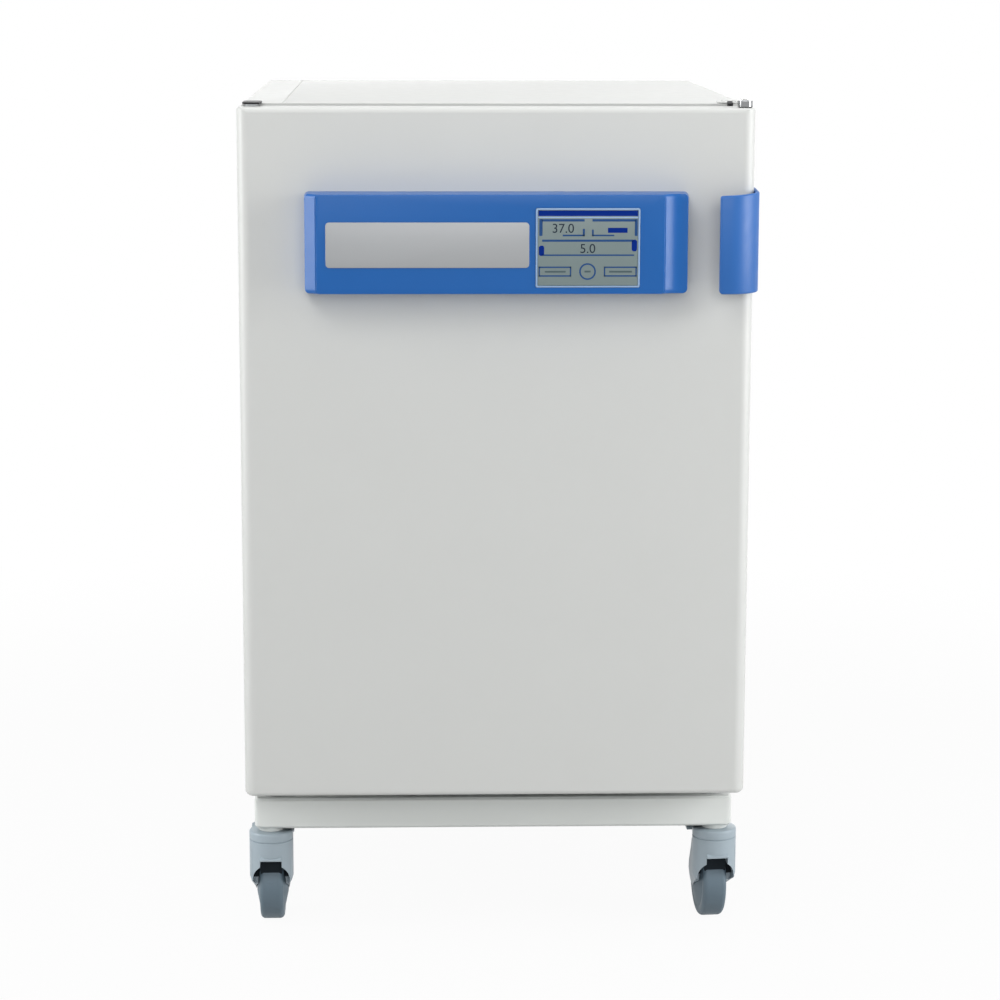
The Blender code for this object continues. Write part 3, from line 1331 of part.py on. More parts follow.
def racks():
    """Perforated uprights with a ledge for each shelf, held off the chamber walls by buttons."""
    wall = CHAMBER_WIDTH / 2
    outer = wall - RACK_STANDOFF
    inner = outer - RACK_SHEET
    front, back = CABINET_FRONT + RACK_FRONT_INSET, CABINET_FRONT + RACK_FRONT_INSET + RACK_DEPTH
    low, high = CHAMBER_BOTTOM + RACK_BOTTOM, CHAMBER_TOP - RACK_BELOW_TOP
    for label, way in (("left", -1), ("right", 1)):
        def x_span(a, b):
            return sorted((way * a, way * b))

        x0, x1 = x_span(inner, outer)
        sheet = block((x0, front, low), (x1, back, high))
        slots = []
        pitch = RACK_DEPTH / RACK_SLOT_COLUMNS
        rows = [low] + [CHAMBER_BOTTOM + shelf for shelf in SHELF_LEVELS] + [high]
        for lower, upper in zip(rows, rows[1:]):
            middle = (lower + upper) / 2
            for column in range(RACK_SLOT_COLUMNS):
                y = front + pitch * (column + 0.5)
                tall = min(RACK_SLOT_HEIGHT, (upper - lower) * 0.5)
                slots.append(block((x0 - OVERSHOOT, y - RACK_SLOT_LENGTH / 2, middle - tall / 2),
                                   (x1 + OVERSHOOT, y + RACK_SLOT_LENGTH / 2, middle + tall / 2)))
        rack = cut_from(sheet, *slots)
        added = []
        for shelf in SHELF_LEVELS:
            z = CHAMBER_BOTTOM + shelf
            l0, l1 = x_span(inner - LEDGE_WIDTH, inner + RACK_SHEET / 2)
            added.append(block((l0, front, z - RACK_SHEET), (l1, back, z)))
        button = RACK_BUTTON / 2
        for z in (low + RACK_BUTTON_INSET, high - RACK_BUTTON_INSET):
            for y in (front + RACK_BUTTON_INSET, back - RACK_BUTTON_INSET):
                b0, b1 = x_span(inner + RACK_SHEET / 2, wall - GAP)
                added.append(rod("X", at(0, y, z), button, b0, b1, SMALL_SEGMENTS))
        node(f"rack_{label}", fused(rack, *added), stainless())


def shelves():
    """Perforated shelves with turned-down front and back edges, each on a pair of ledges."""
    half = CHAMBER_WIDTH / 2 - RACK_STANDOFF - RACK_SHEET - SHELF_SIDE_GAP
    inside = CHAMBER_WIDTH / 2 - RACK_STANDOFF - RACK_SHEET - LEDGE_WIDTH - SHELF_SIDE_GAP
    front = CABINET_FRONT + RACK_FRONT_INSET + SHELF_SETBACK
    back = front + RACK_DEPTH - 2 * SHELF_SETBACK
    for number, shelf in enumerate(SHELF_LEVELS, start=1):
        low = CHAMBER_BOTTOM + shelf + GAP
        high = low + SHELF_SHEET
        tray = block((-half, front, low), (half, back, high))
        slots = []
        column_pitch = 2 * inside / SHELF_COLUMNS
        row_pitch = (back - front - 2 * SHELF_LIP) / SHELF_ROWS
        for column in range(SHELF_COLUMNS):
            x = -inside + column_pitch * (column + 0.5)
            for row in range(SHELF_ROWS):
                y = front + SHELF_LIP + row_pitch * (row + 0.5)
                slots.append(block(
                    (x - SHELF_SLOT_LENGTH / 2, y - SHELF_SLOT_WIDTH / 2, low - OVERSHOOT),
                    (x + SHELF_SLOT_LENGTH / 2, y + SHELF_SLOT_WIDTH / 2, high + OVERSHOOT)))
        tray = cut_from(tray, *slots)
        lips = [
            block((-inside, y, low - SHELF_LIP), (inside, y + SHELF_SHEET, low + SHELF_SHEET / 2))
            for y in (front, back - SHELF_SHEET)
        ]
        tray = fused(tray, *lips)
        carrier = pivot(f"shelf_{number}_slide", at(0, front, low))
        node(f"shelf_{number}", tray, stainless(), carrier)


def humidity_pan():
    half = CHAMBER_WIDTH / 2 - PAN_SIDE_INSET
    front = CABINET_FRONT + PAN_FRONT_INSET
    back = CHAMBER_BACK - PAN_BACK_INSET
    low = CHAMBER_BOTTOM + GAP
    high = low + PAN_HEIGHT

    def loop(inset, z):
        return level((-half + inset, front + inset), (half - inset, back - inset), PAN_CORNER, z)

    sheet, rim, draft = PAN_SHEET, PAN_RIM, PAN_DRAFT
    pan = loft([
        loop(rim + draft, low), loop(rim, high - sheet), loop(0, high - sheet), loop(0, high),
        loop(rim + sheet, high), loop(rim + draft + sheet, low + sheet),
    ])
    carrier = pivot("humidity_pan_slide", at(0, front, low))
    node("humidity_pan", pan, stainless(), carrier)


def fan():
    """Motor behind the insulation, shaft and wheel in the chamber, duct cover over the wheel."""
    axis = at(0, 0, FAN_Z)
    bore = SHAFT_DIAMETER / 2 + GAP
    front, flange_back = MOTOR_FRONT, MOTOR_FRONT + MOTOR_FLANGE_THICKNESS
    bore_end = front + SHAFT_INTO_MOTOR + GAP
    motor = turned([(MOTOR_FLANGE / 2, front), (MOTOR_FLANGE / 2, flange_back),
                    (MOTOR_DIAMETER / 2, flange_back), (MOTOR_DIAMETER / 2, front + MOTOR_LENGTH)],
                   "Y", axis)
    motor = cut_from(motor, rod("Y", axis, bore, front - OVERSHOOT, bore_end, SMALL_SEGMENTS))
    node("fan_motor", motor, black_steel())
    wheel_pivot = pivot("fan_axis", at(0, FAN_BACK, FAN_Z))
    hub, tip = FAN_HUB / 2, FAN_DIAMETER / 2
    wheel_front = FAN_BACK - FAN_WIDTH
    profile = [(hub * 0.7, wheel_front), (hub, wheel_front + SHEET), (hub, FAN_BACK - FAN_DISC),
               (tip, FAN_BACK - FAN_DISC), (tip, FAN_BACK), (SHAFT_DIAMETER / 2, FAN_BACK),
               (SHAFT_DIAMETER / 2, front + SHAFT_INTO_MOTOR)]
    wheel = turned(profile, "Y", axis)
    blades = []
    blade_start, blade_end = (hub + tip) / 2, tip - FAN_BLADE_THICKNESS
    for i in range(FAN_BLADES):
        blade = block((blade_start, wheel_front, -FAN_BLADE_THICKNESS / 2),
                      (blade_end, FAN_BACK - FAN_DISC / 2, FAN_BLADE_THICKNESS / 2))
        middle = Vector(((blade_start + blade_end) / 2, 0, 0))
        bmesh.ops.rotate(blade, verts=blade.verts, cent=middle,
                         matrix=Matrix.Rotation(FAN_BLADE_LEAN, 3, "Y"))
        bmesh.ops.rotate(blade, verts=blade.verts, cent=(0, 0, 0),
                         matrix=Matrix.Rotation(math.tau * i / FAN_BLADES, 3, "Y"))
        bmesh.ops.translate(blade, verts=blade.verts, vec=(0, 0, FAN_Z))
        blades.append(blade)
    node("fan_wheel", fused(wheel, *blades), material("fan_grey", (0.35, 0.36, 0.37), 0.5), wheel_pivot)
    duct_cover()


def duct_cover():
    low, high = FAN_Z - DUCT_HEIGHT / 2, FAN_Z + DUCT_HEIGHT / 2
    half, back = DUCT_WIDTH / 2, CHAMBER_BACK - GAP
    front = back - DUCT_DEPTH

    def loop(inset, y):
        return mirrored_upright(half - inset, low + inset, high - inset, DUCT_CORNER, y)

    sheet = DUCT_SHEET
    cover = loft([loop(sheet, front), loop(0, front + sheet), loop(0, back), loop(sheet, back),
                  loop(sheet, front + sheet)])
    inlet = rod("Y", at(0, 0, FAN_Z), DUCT_INLET / 2, front - OVERSHOOT, front + sheet + OVERSHOOT)
    middle = (front + back) / 2
    outlets = [
        block((-DUCT_OUTLET_LENGTH / 2, middle - DUCT_OUTLET_HEIGHT / 2, z - OVERSHOOT),
              (DUCT_OUTLET_LENGTH / 2, middle + DUCT_OUTLET_HEIGHT / 2, z + OVERSHOOT))
        for z in (low, high)
    ]
    node("air_duct_cover", cut_from(cover, inlet, *outlets), stainless())


def sensor_head():
    axis = at(SENSOR_X, 0, SENSOR_Z)
    back = CHAMBER_BACK - GAP
    wide, slim = SENSOR_DIAMETER / 2, SENSOR_TIP / 2
    profile = [(wide, back), (wide, back - SENSOR_LENGTH / 4), (slim, back - SENSOR_LENGTH / 4),
               (slim, back - SENSOR_LENGTH + SHEET), (slim - SHEET, back - SENSOR_LENGTH)]
    node("sensor_head", turned(profile, "Y", axis, segments=SMALL_SEGMENTS),
         material("sensor_white", (0.75, 0.75, 0.73), 0.5))


def access_port():
    """A tube through the back wall with an outside flange, closed by a rubber plug."""
    axis = at(PORT_X, 0, PORT_Z)
    inner, outer = PORT_BORE / 2, PORT_BORE / 2 + PORT_WALL
    front, flange_front = CHAMBER_BACK - PORT_PROUD, REAR_FACE + GAP
    flange_back = flange_front + PORT_FLANGE_THICKNESS
    profile = [(inner, front), (outer, front), (outer, flange_front), (PORT_FLANGE / 2, flange_front),
               (PORT_FLANGE / 2, flange_back), (inner, flange_back)]
    node("port_sleeve", turned(profile, "Y", axis, True), stainless())
    head_front = flange_back + GAP
    plug_pivot = pivot("port_plug_slide", at(PORT_X, head_front, PORT_Z))
    body, head = inner - GAP, PLUG_HEAD / 2
    end = head_front + PLUG_HEAD_THICKNESS
    profile = [(body - PLUG_TAPER, head_front - PLUG_LENGTH), (body, head_front - PLUG_LENGTH / 2),
               (body, head_front), (head, head_front), (head, end - SHEET), (head - SHEET, end)]
    node("port_plug", turned(profile, "Y", axis), rubber("plug_silicone", (0.62, 0.62, 0.6)), plug_pivot)


def rear_panel():
    half = CABINET_WIDTH / 2
    front, back = CABINET_BACK + GAP, REAR_FACE
    corners = (-half, CABINET_BOTTOM), (half, CABINET_TOP)
    sheet = loft([upright(*corners, CABINET_CORNER, front), upright(*corners, CABINET_CORNER, back)])
    cuts = [rod("Y", at(PORT_X, 0, PORT_Z), PORT_BORE / 2 + PORT_WALL + GAP,
                front - OVERSHOOT, back + OVERSHOOT)]
    cuts.append(box_at(FITTINGS_X, INLET_HEIGHT, INLET_WIDTH / 2 + GAP, INLET_TALL / 2 + GAP,
                       front - OVERSHOOT, back + OVERSHOOT))
    grow = SWITCH_FRAME
    cuts.append(box_at(FITTINGS_X, SWITCH_HEIGHT, SWITCH_WIDTH / 2 + grow, SWITCH_TALL / 2 + grow,
                       front - OVERSHOOT, back + OVERSHOOT))
    cuts.append(rod("Y", at(FITTINGS_X, 0, CABINET_BOTTOM + GAS_HEIGHT), GAS_HEX / 2 + GAP,
                    front - OVERSHOOT, back + OVERSHOOT, SMALL_SEGMENTS))
    for x in (-CHAMBER_WIDTH / 4, CHAMBER_WIDTH / 8):
        for i in range(LOUVRE_COUNT):
            height = LOUVRE_BOTTOM + LOUVRE_PITCH * i
            cuts.append(box_at(x, height, LOUVRE_LENGTH / 2, LOUVRE_HEIGHT / 2,
                               front - OVERSHOOT, back + OVERSHOOT))
    node("rear_panel", cut_from(sheet, *cuts), painted_white())


def box_at(x, height, half_width, half_tall, front, back):
    """A box centred at x and at a height above the cabinet's base."""
    z = CABINET_BOTTOM + height
    return block((x - half_width, front, z - half_tall), (x + half_width, back, z + half_tall))


def mains_inlet():
    """The recessed appliance inlet with its three flat pins."""
    flange_front = REAR_FACE + GAP
    flange_back = flange_front + INLET_FLANGE_THICKNESS
    deep = flange_back - INLET_DEPTH
    half_w, half_t, grow = INLET_WIDTH / 2, INLET_TALL / 2, INLET_FLANGE
    body = box_at(FITTINGS_X, INLET_HEIGHT, half_w, half_t, deep, flange_back)
    flange = box_at(FITTINGS_X, INLET_HEIGHT, half_w + grow, half_t + grow, flange_front, flange_back)
    z = CABINET_BOTTOM + INLET_HEIGHT
    socket = box_at(FITTINGS_X, INLET_HEIGHT, SOCKET_WIDTH / 2, SOCKET_TALL / 2,
                    flange_back - SOCKET_DEPTH, flange_back + OVERSHOOT)
    inlet = cut_from(fused(body, flange), socket)
    pins = []
    pin_w, pin_t = INLET_PIN
    for dx, dz in ((0.0, 0.28), (0.0, 0.0), (0.0, -0.28)):
        x = FITTINGS_X + dx
        pin_z = z + dz * SOCKET_TALL
        pin = block((x - pin_w / 2, flange_back - SOCKET_DEPTH - SHEET, pin_z - pin_t / 2),
                    (x + pin_w / 2, flange_back - SOCKET_DEPTH / 4, pin_z + pin_t / 2))
        pins.append(pin)
    node("mains_inlet", fused(inlet, *pins), rubber("black_plastic", (0.025, 0.025, 0.025)))


def mains_switch():
    """A rocker in a square frame set into the rear panel."""
    z = CABINET_BOTTOM + SWITCH_HEIGHT
    front, back = REAR_FACE - SWITCH_DEPTH, REAR_FACE + SHEET
    half_w, half_t = SWITCH_WIDTH / 2, SWITCH_TALL / 2
    wall = SWITCH_FRAME - GAP
    body = box_at(FITTINGS_X, SWITCH_HEIGHT, half_w + wall, half_t + wall, front, back)
    flange = box_at(FITTINGS_X, SWITCH_HEIGHT, half_w + wall + SHEET, half_t + wall + SHEET,
                    REAR_FACE + GAP, back)
    well = box_at(FITTINGS_X, SWITCH_HEIGHT, half_w + GAP, half_t + SHEET / 2, front + SHEET,
                  back + OVERSHOOT)
    frame = cut_from(fused(body, flange), well)
    axle_y = back - SWITCH_DEPTH / 3
    axle = rod("X", at(FITTINGS_X, axle_y, z), SHEET / 2, -half_w - SHEET, half_w + SHEET, SMALL_SEGMENTS)
    node("switch_frame", fused(frame, axle), rubber("black_plastic"))
    rocker_pivot = pivot("mains_switch_axis", at(FITTINGS_X, axle_y, z))
    reach = back - axle_y
    outline = [(-reach * 0.6, -half_t * 0.8), (reach * 0.55, -half_t), (reach * 0.75, 0.0),
               (reach * 0.55, half_t), (-reach * 0.6, half_t * 0.8)]
    rocker = prism([(a, b) for a, b in outline], "X", -half_w, half_w)
    bmesh.ops.rotate(rocker, verts=rocker.verts, cent=(0, 0, 0), matrix=Matrix.Rotation(SWITCH_TILT, 3, "X"))
    bmesh.ops.translate(rocker, verts=rocker.verts, vec=at(FITTINGS_X, axle_y, z))
    hole = rod("X", at(FITTINGS_X, axle_y, z), SHEET / 2 + GAP, -half_w - SHEET, half_w + SHEET,
               SMALL_SEGMENTS)
    node("mains_switch", cut_from(rocker, hole), rubber("switch_green", (0.03, 0.3, 0.08)), rocker_pivot)


def gas_inlet():
    """The gas valve in the rear compartment, with its hose nozzle through the rear panel."""
    axis = at(FITTINGS_X, 0, CABINET_BOTTOM + GAS_HEIGHT)
    nut_back = REAR_FACE + GAP + 2 * SHEET
    inside = CABINET_BACK - SHEET
    radius, nozzle = GAS_HEX / 2, GAS_NOZZLE / 2
    profile = [(GAS_BODY / 2, COMPARTMENT_FRONT + GAP), (GAS_BODY / 2, COMPARTMENT_FRONT + GAS_BODY_LENGTH),
               (radius, COMPARTMENT_FRONT + GAS_BODY_LENGTH), (radius, inside), (radius, nut_back),
               (nozzle * 0.8, nut_back)]
    barb = GAS_NOZZLE_LENGTH / GAS_BARBS
    for i in range(GAS_BARBS):
        start = nut_back + barb * i
        profile += [(nozzle * 1.2, start + barb * 0.3), (nozzle * 0.8, start + barb)]
    node("gas_inlet", turned(profile, "Y", axis, segments=SMALL_SEGMENTS),
         material("brass", (0.7, 0.52, 0.25), 0.3, 1.0))


def power_supply():
    low = CABINET_BOTTOM + SHEET + GAP + SUPPLY_BOTTOM
    front = COMPARTMENT_FRONT + GAP
    box = soft_block((-SUPPLY_WIDTH / 2, front, low),
                     (SUPPLY_WIDTH / 2, front + SUPPLY_DEPTH, low + SUPPLY_HEIGHT), SHEET)
    node("power_supply", box, material("zinc", (0.55, 0.56, 0.58), 0.4, 0.9))


def build():
    clear_scene()
    cabinet_shell()
    front_frame()
    chamber_liner()
    chamber_heater()
    insulation_jacket()
    base_tray()
    stand_frame()
    castors()
    hinge_plates()
    door = pivot("door_axis", at(HINGE_X, HINGE_Y, 0))
    door_shell(door)
    door_liner(door)
    door_insulation(door)
    door_gasket(door)
    hinge_bushes(door)
    control_panel(door)
    display(door)
    label_plate(door)
    door_handle(door)
    catch(door)
    inner = pivot("glass_door_axis", at(PANE_HINGE_X, PANE_HINGE_Y, 0))
    glass_door(inner)
    glass_hinges(inner)
    latch(inner)
    racks()
    shelves()
    humidity_pan()
    fan()
    sensor_head()
    access_port()
    rear_panel()
    mains_inlet()
    mains_switch()
    gas_inlet()
    power_supply()


build()
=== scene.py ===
"""Looks of the carbon dioxide incubator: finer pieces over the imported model, finishes, light and camera."""

import json
import math

import bmesh
import bpy
from mathutils import Matrix, Vector

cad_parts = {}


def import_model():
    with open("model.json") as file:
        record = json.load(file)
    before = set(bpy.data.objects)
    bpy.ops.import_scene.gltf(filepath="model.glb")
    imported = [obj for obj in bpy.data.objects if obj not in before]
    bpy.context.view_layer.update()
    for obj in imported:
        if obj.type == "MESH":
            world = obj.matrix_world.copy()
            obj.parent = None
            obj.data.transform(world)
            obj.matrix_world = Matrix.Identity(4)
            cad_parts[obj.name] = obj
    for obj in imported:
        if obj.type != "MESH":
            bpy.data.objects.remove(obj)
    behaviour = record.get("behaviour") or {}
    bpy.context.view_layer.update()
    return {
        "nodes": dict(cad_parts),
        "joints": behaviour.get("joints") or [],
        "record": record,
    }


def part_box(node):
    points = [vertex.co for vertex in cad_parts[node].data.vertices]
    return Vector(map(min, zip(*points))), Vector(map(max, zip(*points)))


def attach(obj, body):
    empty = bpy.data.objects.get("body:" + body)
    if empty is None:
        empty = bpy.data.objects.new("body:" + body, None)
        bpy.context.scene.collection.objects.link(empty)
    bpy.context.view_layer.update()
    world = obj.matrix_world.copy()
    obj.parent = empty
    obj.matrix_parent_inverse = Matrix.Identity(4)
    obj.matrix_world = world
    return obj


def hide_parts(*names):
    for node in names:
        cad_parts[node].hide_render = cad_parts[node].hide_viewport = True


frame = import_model()

MM = 0.001
FINE = 10
ROUND = 64
SMOOTH_ANGLE = math.radians(32)
MERGE_DISTANCE = 0.002 * MM
FLAT_ANGLE = math.radians(0.5)
BEVEL_SEGMENTS = 3
EDGE_STEPS = 4
LEAST_CORNER = 0.01 * MM
MOST_CORNER_SHARE = 0.49

# The door's front face and lower edge are where the camera was fitted and where sizes start
door_low, door_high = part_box("door_shell")
FRONT = door_low.y
DOOR_BOTTOM = door_low.z

# Camera, fitted to the four corners of the door in the photo
FOCAL_LENGTH = 105.1
SENSOR = 36
CAMERA_PLACE = (-0.111, -3.591, 1.040)
CAMERA_TURN = math.radians(-1.85)
CAMERA_TILT = math.radians(79.633)
CAMERA_ROLL = math.radians(0.151)

# Outer door
DOOR_SIDE_ROUNDING = 15 * MM
DOOR_END_ROUNDING = 6 * MM
DOOR_CORNER = 6 * MM
DOOR_TOP_CORNER = 2 * MM
SHEET = 2 * MM

# Blue housing on the door
HOUSING_FRONT_LEFT = -221 * MM
HOUSING_FRONT_RIGHT = 204 * MM
HOUSING_DRAFT = 1 * MM
HOUSING_CORNER = 6 * MM
HOUSING_EDGE = 1 * MM
SCOOP_TILT = math.radians(44)
SCOOP_STEPS = 20
SCOOP_INSET = 2.6 * MM
CHAMFER_INSET = 0.8 * MM
POCKET_GAP = 0.3 * MM
CUT_PAST = 5 * MM

# Silver plate
PLATE_CORNER = 4.5 * MM
PLATE_EDGE = 0.35 * MM

# Display: its frame, and the layout on it in millimetres from the frame's lower left corner
FRAME_WIDTH = 2.0 * MM
FRAME_TOP_TRIM = 1.2 * MM
FRAME_CORNER = 2 * MM
FRAME_EDGE = 0.5 * MM
FRAME_WINDOW_DEPTH = 2.3 * MM
SCREEN_EDGE = 0.1 * MM
INK = 0.12 * MM
MARK_CORNER_STEPS = 3
DIGIT_SIZE = 16 * MM

# Handle
HANDLE_FRONT = 40 * MM
HANDLE_THICKNESS = 5 * MM
HANDLE_TAIL_THICKNESS = 4.6 * MM
HANDLE_FLAT = 11 * MM
HANDLE_TAIL = 34 * MM
HANDLE_FLAT_STEPS = 4
HANDLE_ARC_STEPS = 32
HANDLE_TAIL_STEPS = 12
HANDLE_RIM_STEPS = 6
HANDLE_TIP = 0.5
HANDLE_CORNER_FRONT = 5 * MM
HANDLE_CORNER_BACK = 14 * MM
HANDLE_TOP_CORNER = 2.5 * MM
HANDLE_RISE = 5.1 * MM

# Castors, about the swivel axis: y runs back from it and z is the height above the floor
CASTOR_HEAD = 57 * MM
CASTOR_ROUNDING = 3 * MM
CASTOR_EDGE = 0.6 * MM
CROWN_STEPS = 5
STEM_RADIUS = 6.3 * MM
GROOVE_DROP = 12 * MM
GROOVE_WIDTH = 1.8 * MM
GROOVE_DEPTH = 1.2 * MM
SKIRT_BOTTOM = 62 * MM
SKIRT_TAPER = (2 * MM, 7 * MM)
FORK_WIDTH = 50 * MM
FORK_LOBE = 11 * MM
LOBE_ARC = (20, -150, 16)
FORK_TAPER_TOP = 62 * MM
FORK_TAPER = 0.16
FORK_TOP = (24 * MM, 108 * MM)
FORK_BACK = ((31 * MM, 92 * MM), (42 * MM, 73 * MM))
WINDOW_WIDTH = 28 * MM
WINDOW_TOP = 98.3 * MM
WINDOW_CORNER = 1.5 * MM
ARCH_RADIUS = 24 * MM
ARCH_CENTRE = 66 * MM
ARCH_BACK = 5 * MM
LIP_PROUD = 1.0 * MM
LIP_HEIGHT = 3.4 * MM
LIP_OVERLAP = 0.1 * MM
# Painted shade inside the castor: a dark plate behind the window and a dark crescent behind the arch
SHADE_PLATE_FRONT = -9 * MM
SHADE_PLATE_BACK = -5 * MM
SHADE_PLATE_BOTTOM = 72 * MM
SHADE_CRESCENT_GAP = 0.2 * MM
SHADE_CRESCENT_THICKNESS = 1.4 * MM
SHADE_CRESCENT_START = -3
SHADE_CRESCENT_STEPS = 40
AXLE_RADIUS = 5 * MM
AXLE_SUNK = 0.5 * MM
AXLE_SEGMENTS = 32
WHEEL_RADIUS = 50 * MM
WHEEL_WIDTH = 31 * MM
WHEEL_EDGE = 6 * MM
WHEEL_EDGE_STEPS = 8
WHEEL_SEGMENTS = 96
WHEEL_CLEARANCE = 2.5 * MM
WHEEL_SIDE_GAP = 0.7 * MM
# Radius and half width of the wheel's side from its hub out; then the hub's ring and the tread's joint on it
WHEEL_SIDE = ((10 * MM, 20.9 * MM), (15 * MM, 20.3 * MM), (36 * MM, 15.5 * MM), (50 * MM, 15.5 * MM))
HUB_GAP = 0.3 * MM
HUB_STEP = 0.5 * MM
HUB_FOOT = (1.5 * MM, 0.2 * MM)
TREAD_JOINT = ((0, 0.4 * MM), (1.2 * MM, 0), (2.0 * MM, -0.5 * MM), (3.2 * MM, 0))
LUG_INNER = 10.3 * MM
LUG_THICKNESS = 3 * MM
LUG_ROOT = 9 * MM
LUG_WIDTH = 7 * MM
LUG_PIN = 2 * MM
LUG_STEPS = 8
PIN_SEGMENTS = 24

# Studio: the floor's white share near the object and the distances over which it runs out to white
FLOOR_HALF = 14.0
FLOOR_SQUARES = 8
FLOOR_NEAR = 0.9
FLOOR_FAR = 2.2
FLOOR_WHITE_NEAR = 0.95
FLOOR_PAINT = (0.55, 0.55, 0.55)
FLOOR_ROUGHNESS = 0.8
FLOOR_SPECULAR = 0.1
WORLD_LEVEL = 0.15

# Lamps: name, place, target, width and height in metres, power in watts
LIGHTS = (
    ("top_light", (0, 0.1, 3.4), (0, 0.1, 0.6), (3.0, 2.0), 42),
    ("key_light", (-1.4, -3.2, 3.6), (0, -0.35, 0.7), (2.4, 1.8), 56),
    ("fill_light", (0.3, -4.4, 2.1), (0, -0.35, 0.5), (2.6, 1.6), 44),
    ("left_light", (-2.65, -0.65, 1.3), (0, -0.3, 0.8), (0.7, 2.2), 45),
    ("right_light", (2.7, -1.1, 1.3), (0, -0.3, 0.8), (1.4, 2.2), 66),
    ("back_light", (0.6, 4.4, 0.9), (0, 0.4, 0.5), (2.6, 1.2), 34),
)

# Finishes in general: the noises' waves per metre and detail, the gloss noise's range, and the relief
SPECULAR = "Specular IOR Level"
ROUGH_SPREAD = 0.05
LEAST_ROUGHNESS = 0.02
DRIFT_NOISE = (9.0, 4.0)
GLOSS_NOISE = (60.0, 5.0)
GLOSS_RANGE = (0.3, 0.7)
RELIEF_DETAIL = 2.0
RELIEF_DEPTH = 0.4 * MM

# Finishes: colour, roughness, relief in waves per metre, its strength, colour spread and other values
FINISHES = {
    "powder_coat": ((0.60, 0.61, 0.595), 0.42, 900, 0.05, 0.012, {}),
    # Stand coat: lighter than the door's paint, painted light that makes up for the shade the door casts on
    # the stand
    "stand_coat": ((0.70, 0.725, 0.705), 0.45, 800, 0.06, 0.015, {}),
    "moulded_blue": ((0.004, 0.102, 0.37), 0.3, 1400, 0.06, 0.03, {"rough_spread": 0.02, SPECULAR: 0.36}),
    "handle_blue": ((0.004, 0.102, 0.37), 0.44, 1400, 0.06, 0.03, {SPECULAR: 0.55}),
    "castor_grey": ((0.325, 0.39, 0.435), 0.42, 1100, 0.07, 0.04, {}),
    "tread_grey": ((0.105, 0.15, 0.185), 0.55, 900, 0.10, 0.06, {}),
    "brushed_steel": ((0.62, 0.62, 0.61), 0.30, 1800, 0.05, 0.03,
                      {"metallic": 1.0, "stretch": (1, 1, 0.02), "rough_spread": 0.07}),
    "plate_silver": ((0.325, 0.335, 0.345), 0.38, 2200, 0.06, 0.02,
                     {"metallic": 0.35, "stretch": (0.03, 1, 1)}),
    "bezel_grey": ((0.27, 0.40, 0.60), 0.4, 1200, 0.05, 0.02, {}),
    "screen_green": ((0.165, 0.215, 0.215), 0.22, 1500, 0.02, 0.03, {}),
    "ink_navy": ((0.0015, 0.022, 0.21), 0.5, 1500, 0.02, 0.02, {SPECULAR: 0.05}),
    "ink_slate": ((0.022, 0.07, 0.2), 0.5, 1500, 0.02, 0.02, {SPECULAR: 0.1}),
    "ink_faint": ((0.075, 0.11, 0.12), 0.5, 1500, 0.02, 0.02, {SPECULAR: 0.1}),
    "ink_dark": ((0.02, 0.03, 0.045), 0.5, 1500, 0.02, 0.02, {SPECULAR: 0.1}),
    # Chrome: its colour is kept dark, a painted reflection of a dark room, so the roller reads dark between
    # the lamps' highlights
    "chrome": ((0.28, 0.285, 0.29), 0.12, 500, 0.02, 0.02, {"metallic": 1.0, "rough_spread": 0.03}),
    "black_steel": ((0.012, 0.012, 0.013), 0.42, 900, 0.06, 0.1, {SPECULAR: 0.25}),
    "black_plastic": ((0.02, 0.02, 0.02), 0.4, 1300, 0.07, 0.1, {}),
    # Painted shade: near black, for the plate and crescent that stand for the shade inside the castors
    "painted_shade_black": ((0.012, 0.017, 0.022), 0.7, 1300, 0.07, 0.1, {SPECULAR: 0.1}),
    "black_rubber": ((0.022, 0.022, 0.024), 0.7, 900, 0.1, 0.12, {}),
    "tray_grey": ((0.36, 0.37, 0.375), 0.6, 900, 0.06, 0.05, {}),
    "seal_grey": ((0.24, 0.25, 0.26), 0.6, 700, 0.1, 0.06, {}),
    "silicone": ((0.62, 0.62, 0.6), 0.45, 500, 0.05, 0.03, {}),
    "white_plastic": ((0.72, 0.72, 0.70), 0.4, 1200, 0.05, 0.02, {}),
    "grey_plastic": ((0.33, 0.34, 0.35), 0.4, 1200, 0.06, 0.02, {}),
    "clear_glass": ((0.93, 0.97, 0.96), 0.03, 40, 0.01, 0.02,
                    {"rough_spread": 0.01, "Transmission Weight": 1.0, "IOR": 1.45}),
    "foam": ((0.75, 0.68, 0.45), 0.8, 500, 0.3, 0.06, {}),
    "heater_foil": ((0.72, 0.47, 0.32), 0.35, 400, 0.2, 0.02, {"metallic": 1.0}),
    "brass": ((0.62, 0.44, 0.2), 0.28, 900, 0.05, 0.02, {"metallic": 1.0}),
    "green_plastic": ((0.02, 0.26, 0.06), 0.3, 1200, 0.04, 0.02, {}),
}

# The finish of each material slot, and of the nodes that look different from their slot
SLOT_FINISH = {
    "painted_steel": "powder_coat", "stand_paint": "stand_coat", "stainless": "brushed_steel",
    "heater_foil": "heater_foil", "foam": "foam", "black_rubber": "black_rubber", "door_seal": "seal_grey",
    "silicone": "silicone", "blue_plastic": "moulded_blue", "castor_plastic": "castor_grey",
    "tread": "tread_grey", "black_steel": "black_steel", "black_plastic": "black_plastic",
    "white_plastic": "white_plastic", "grey_plastic": "grey_plastic", "bezel_plastic": "bezel_grey",
    "screen": "screen_green", "silver_plate": "plate_silver", "chrome": "chrome", "glass": "clear_glass",
    "green_plastic": "green_plastic", "brass": "brass",
}
NODE_FINISH = {
    "base_tray": "tray_grey", "hinge_bush_upper": "grey_plastic", "hinge_bush_lower": "grey_plastic",
    "catch_pin": "brushed_steel",
}

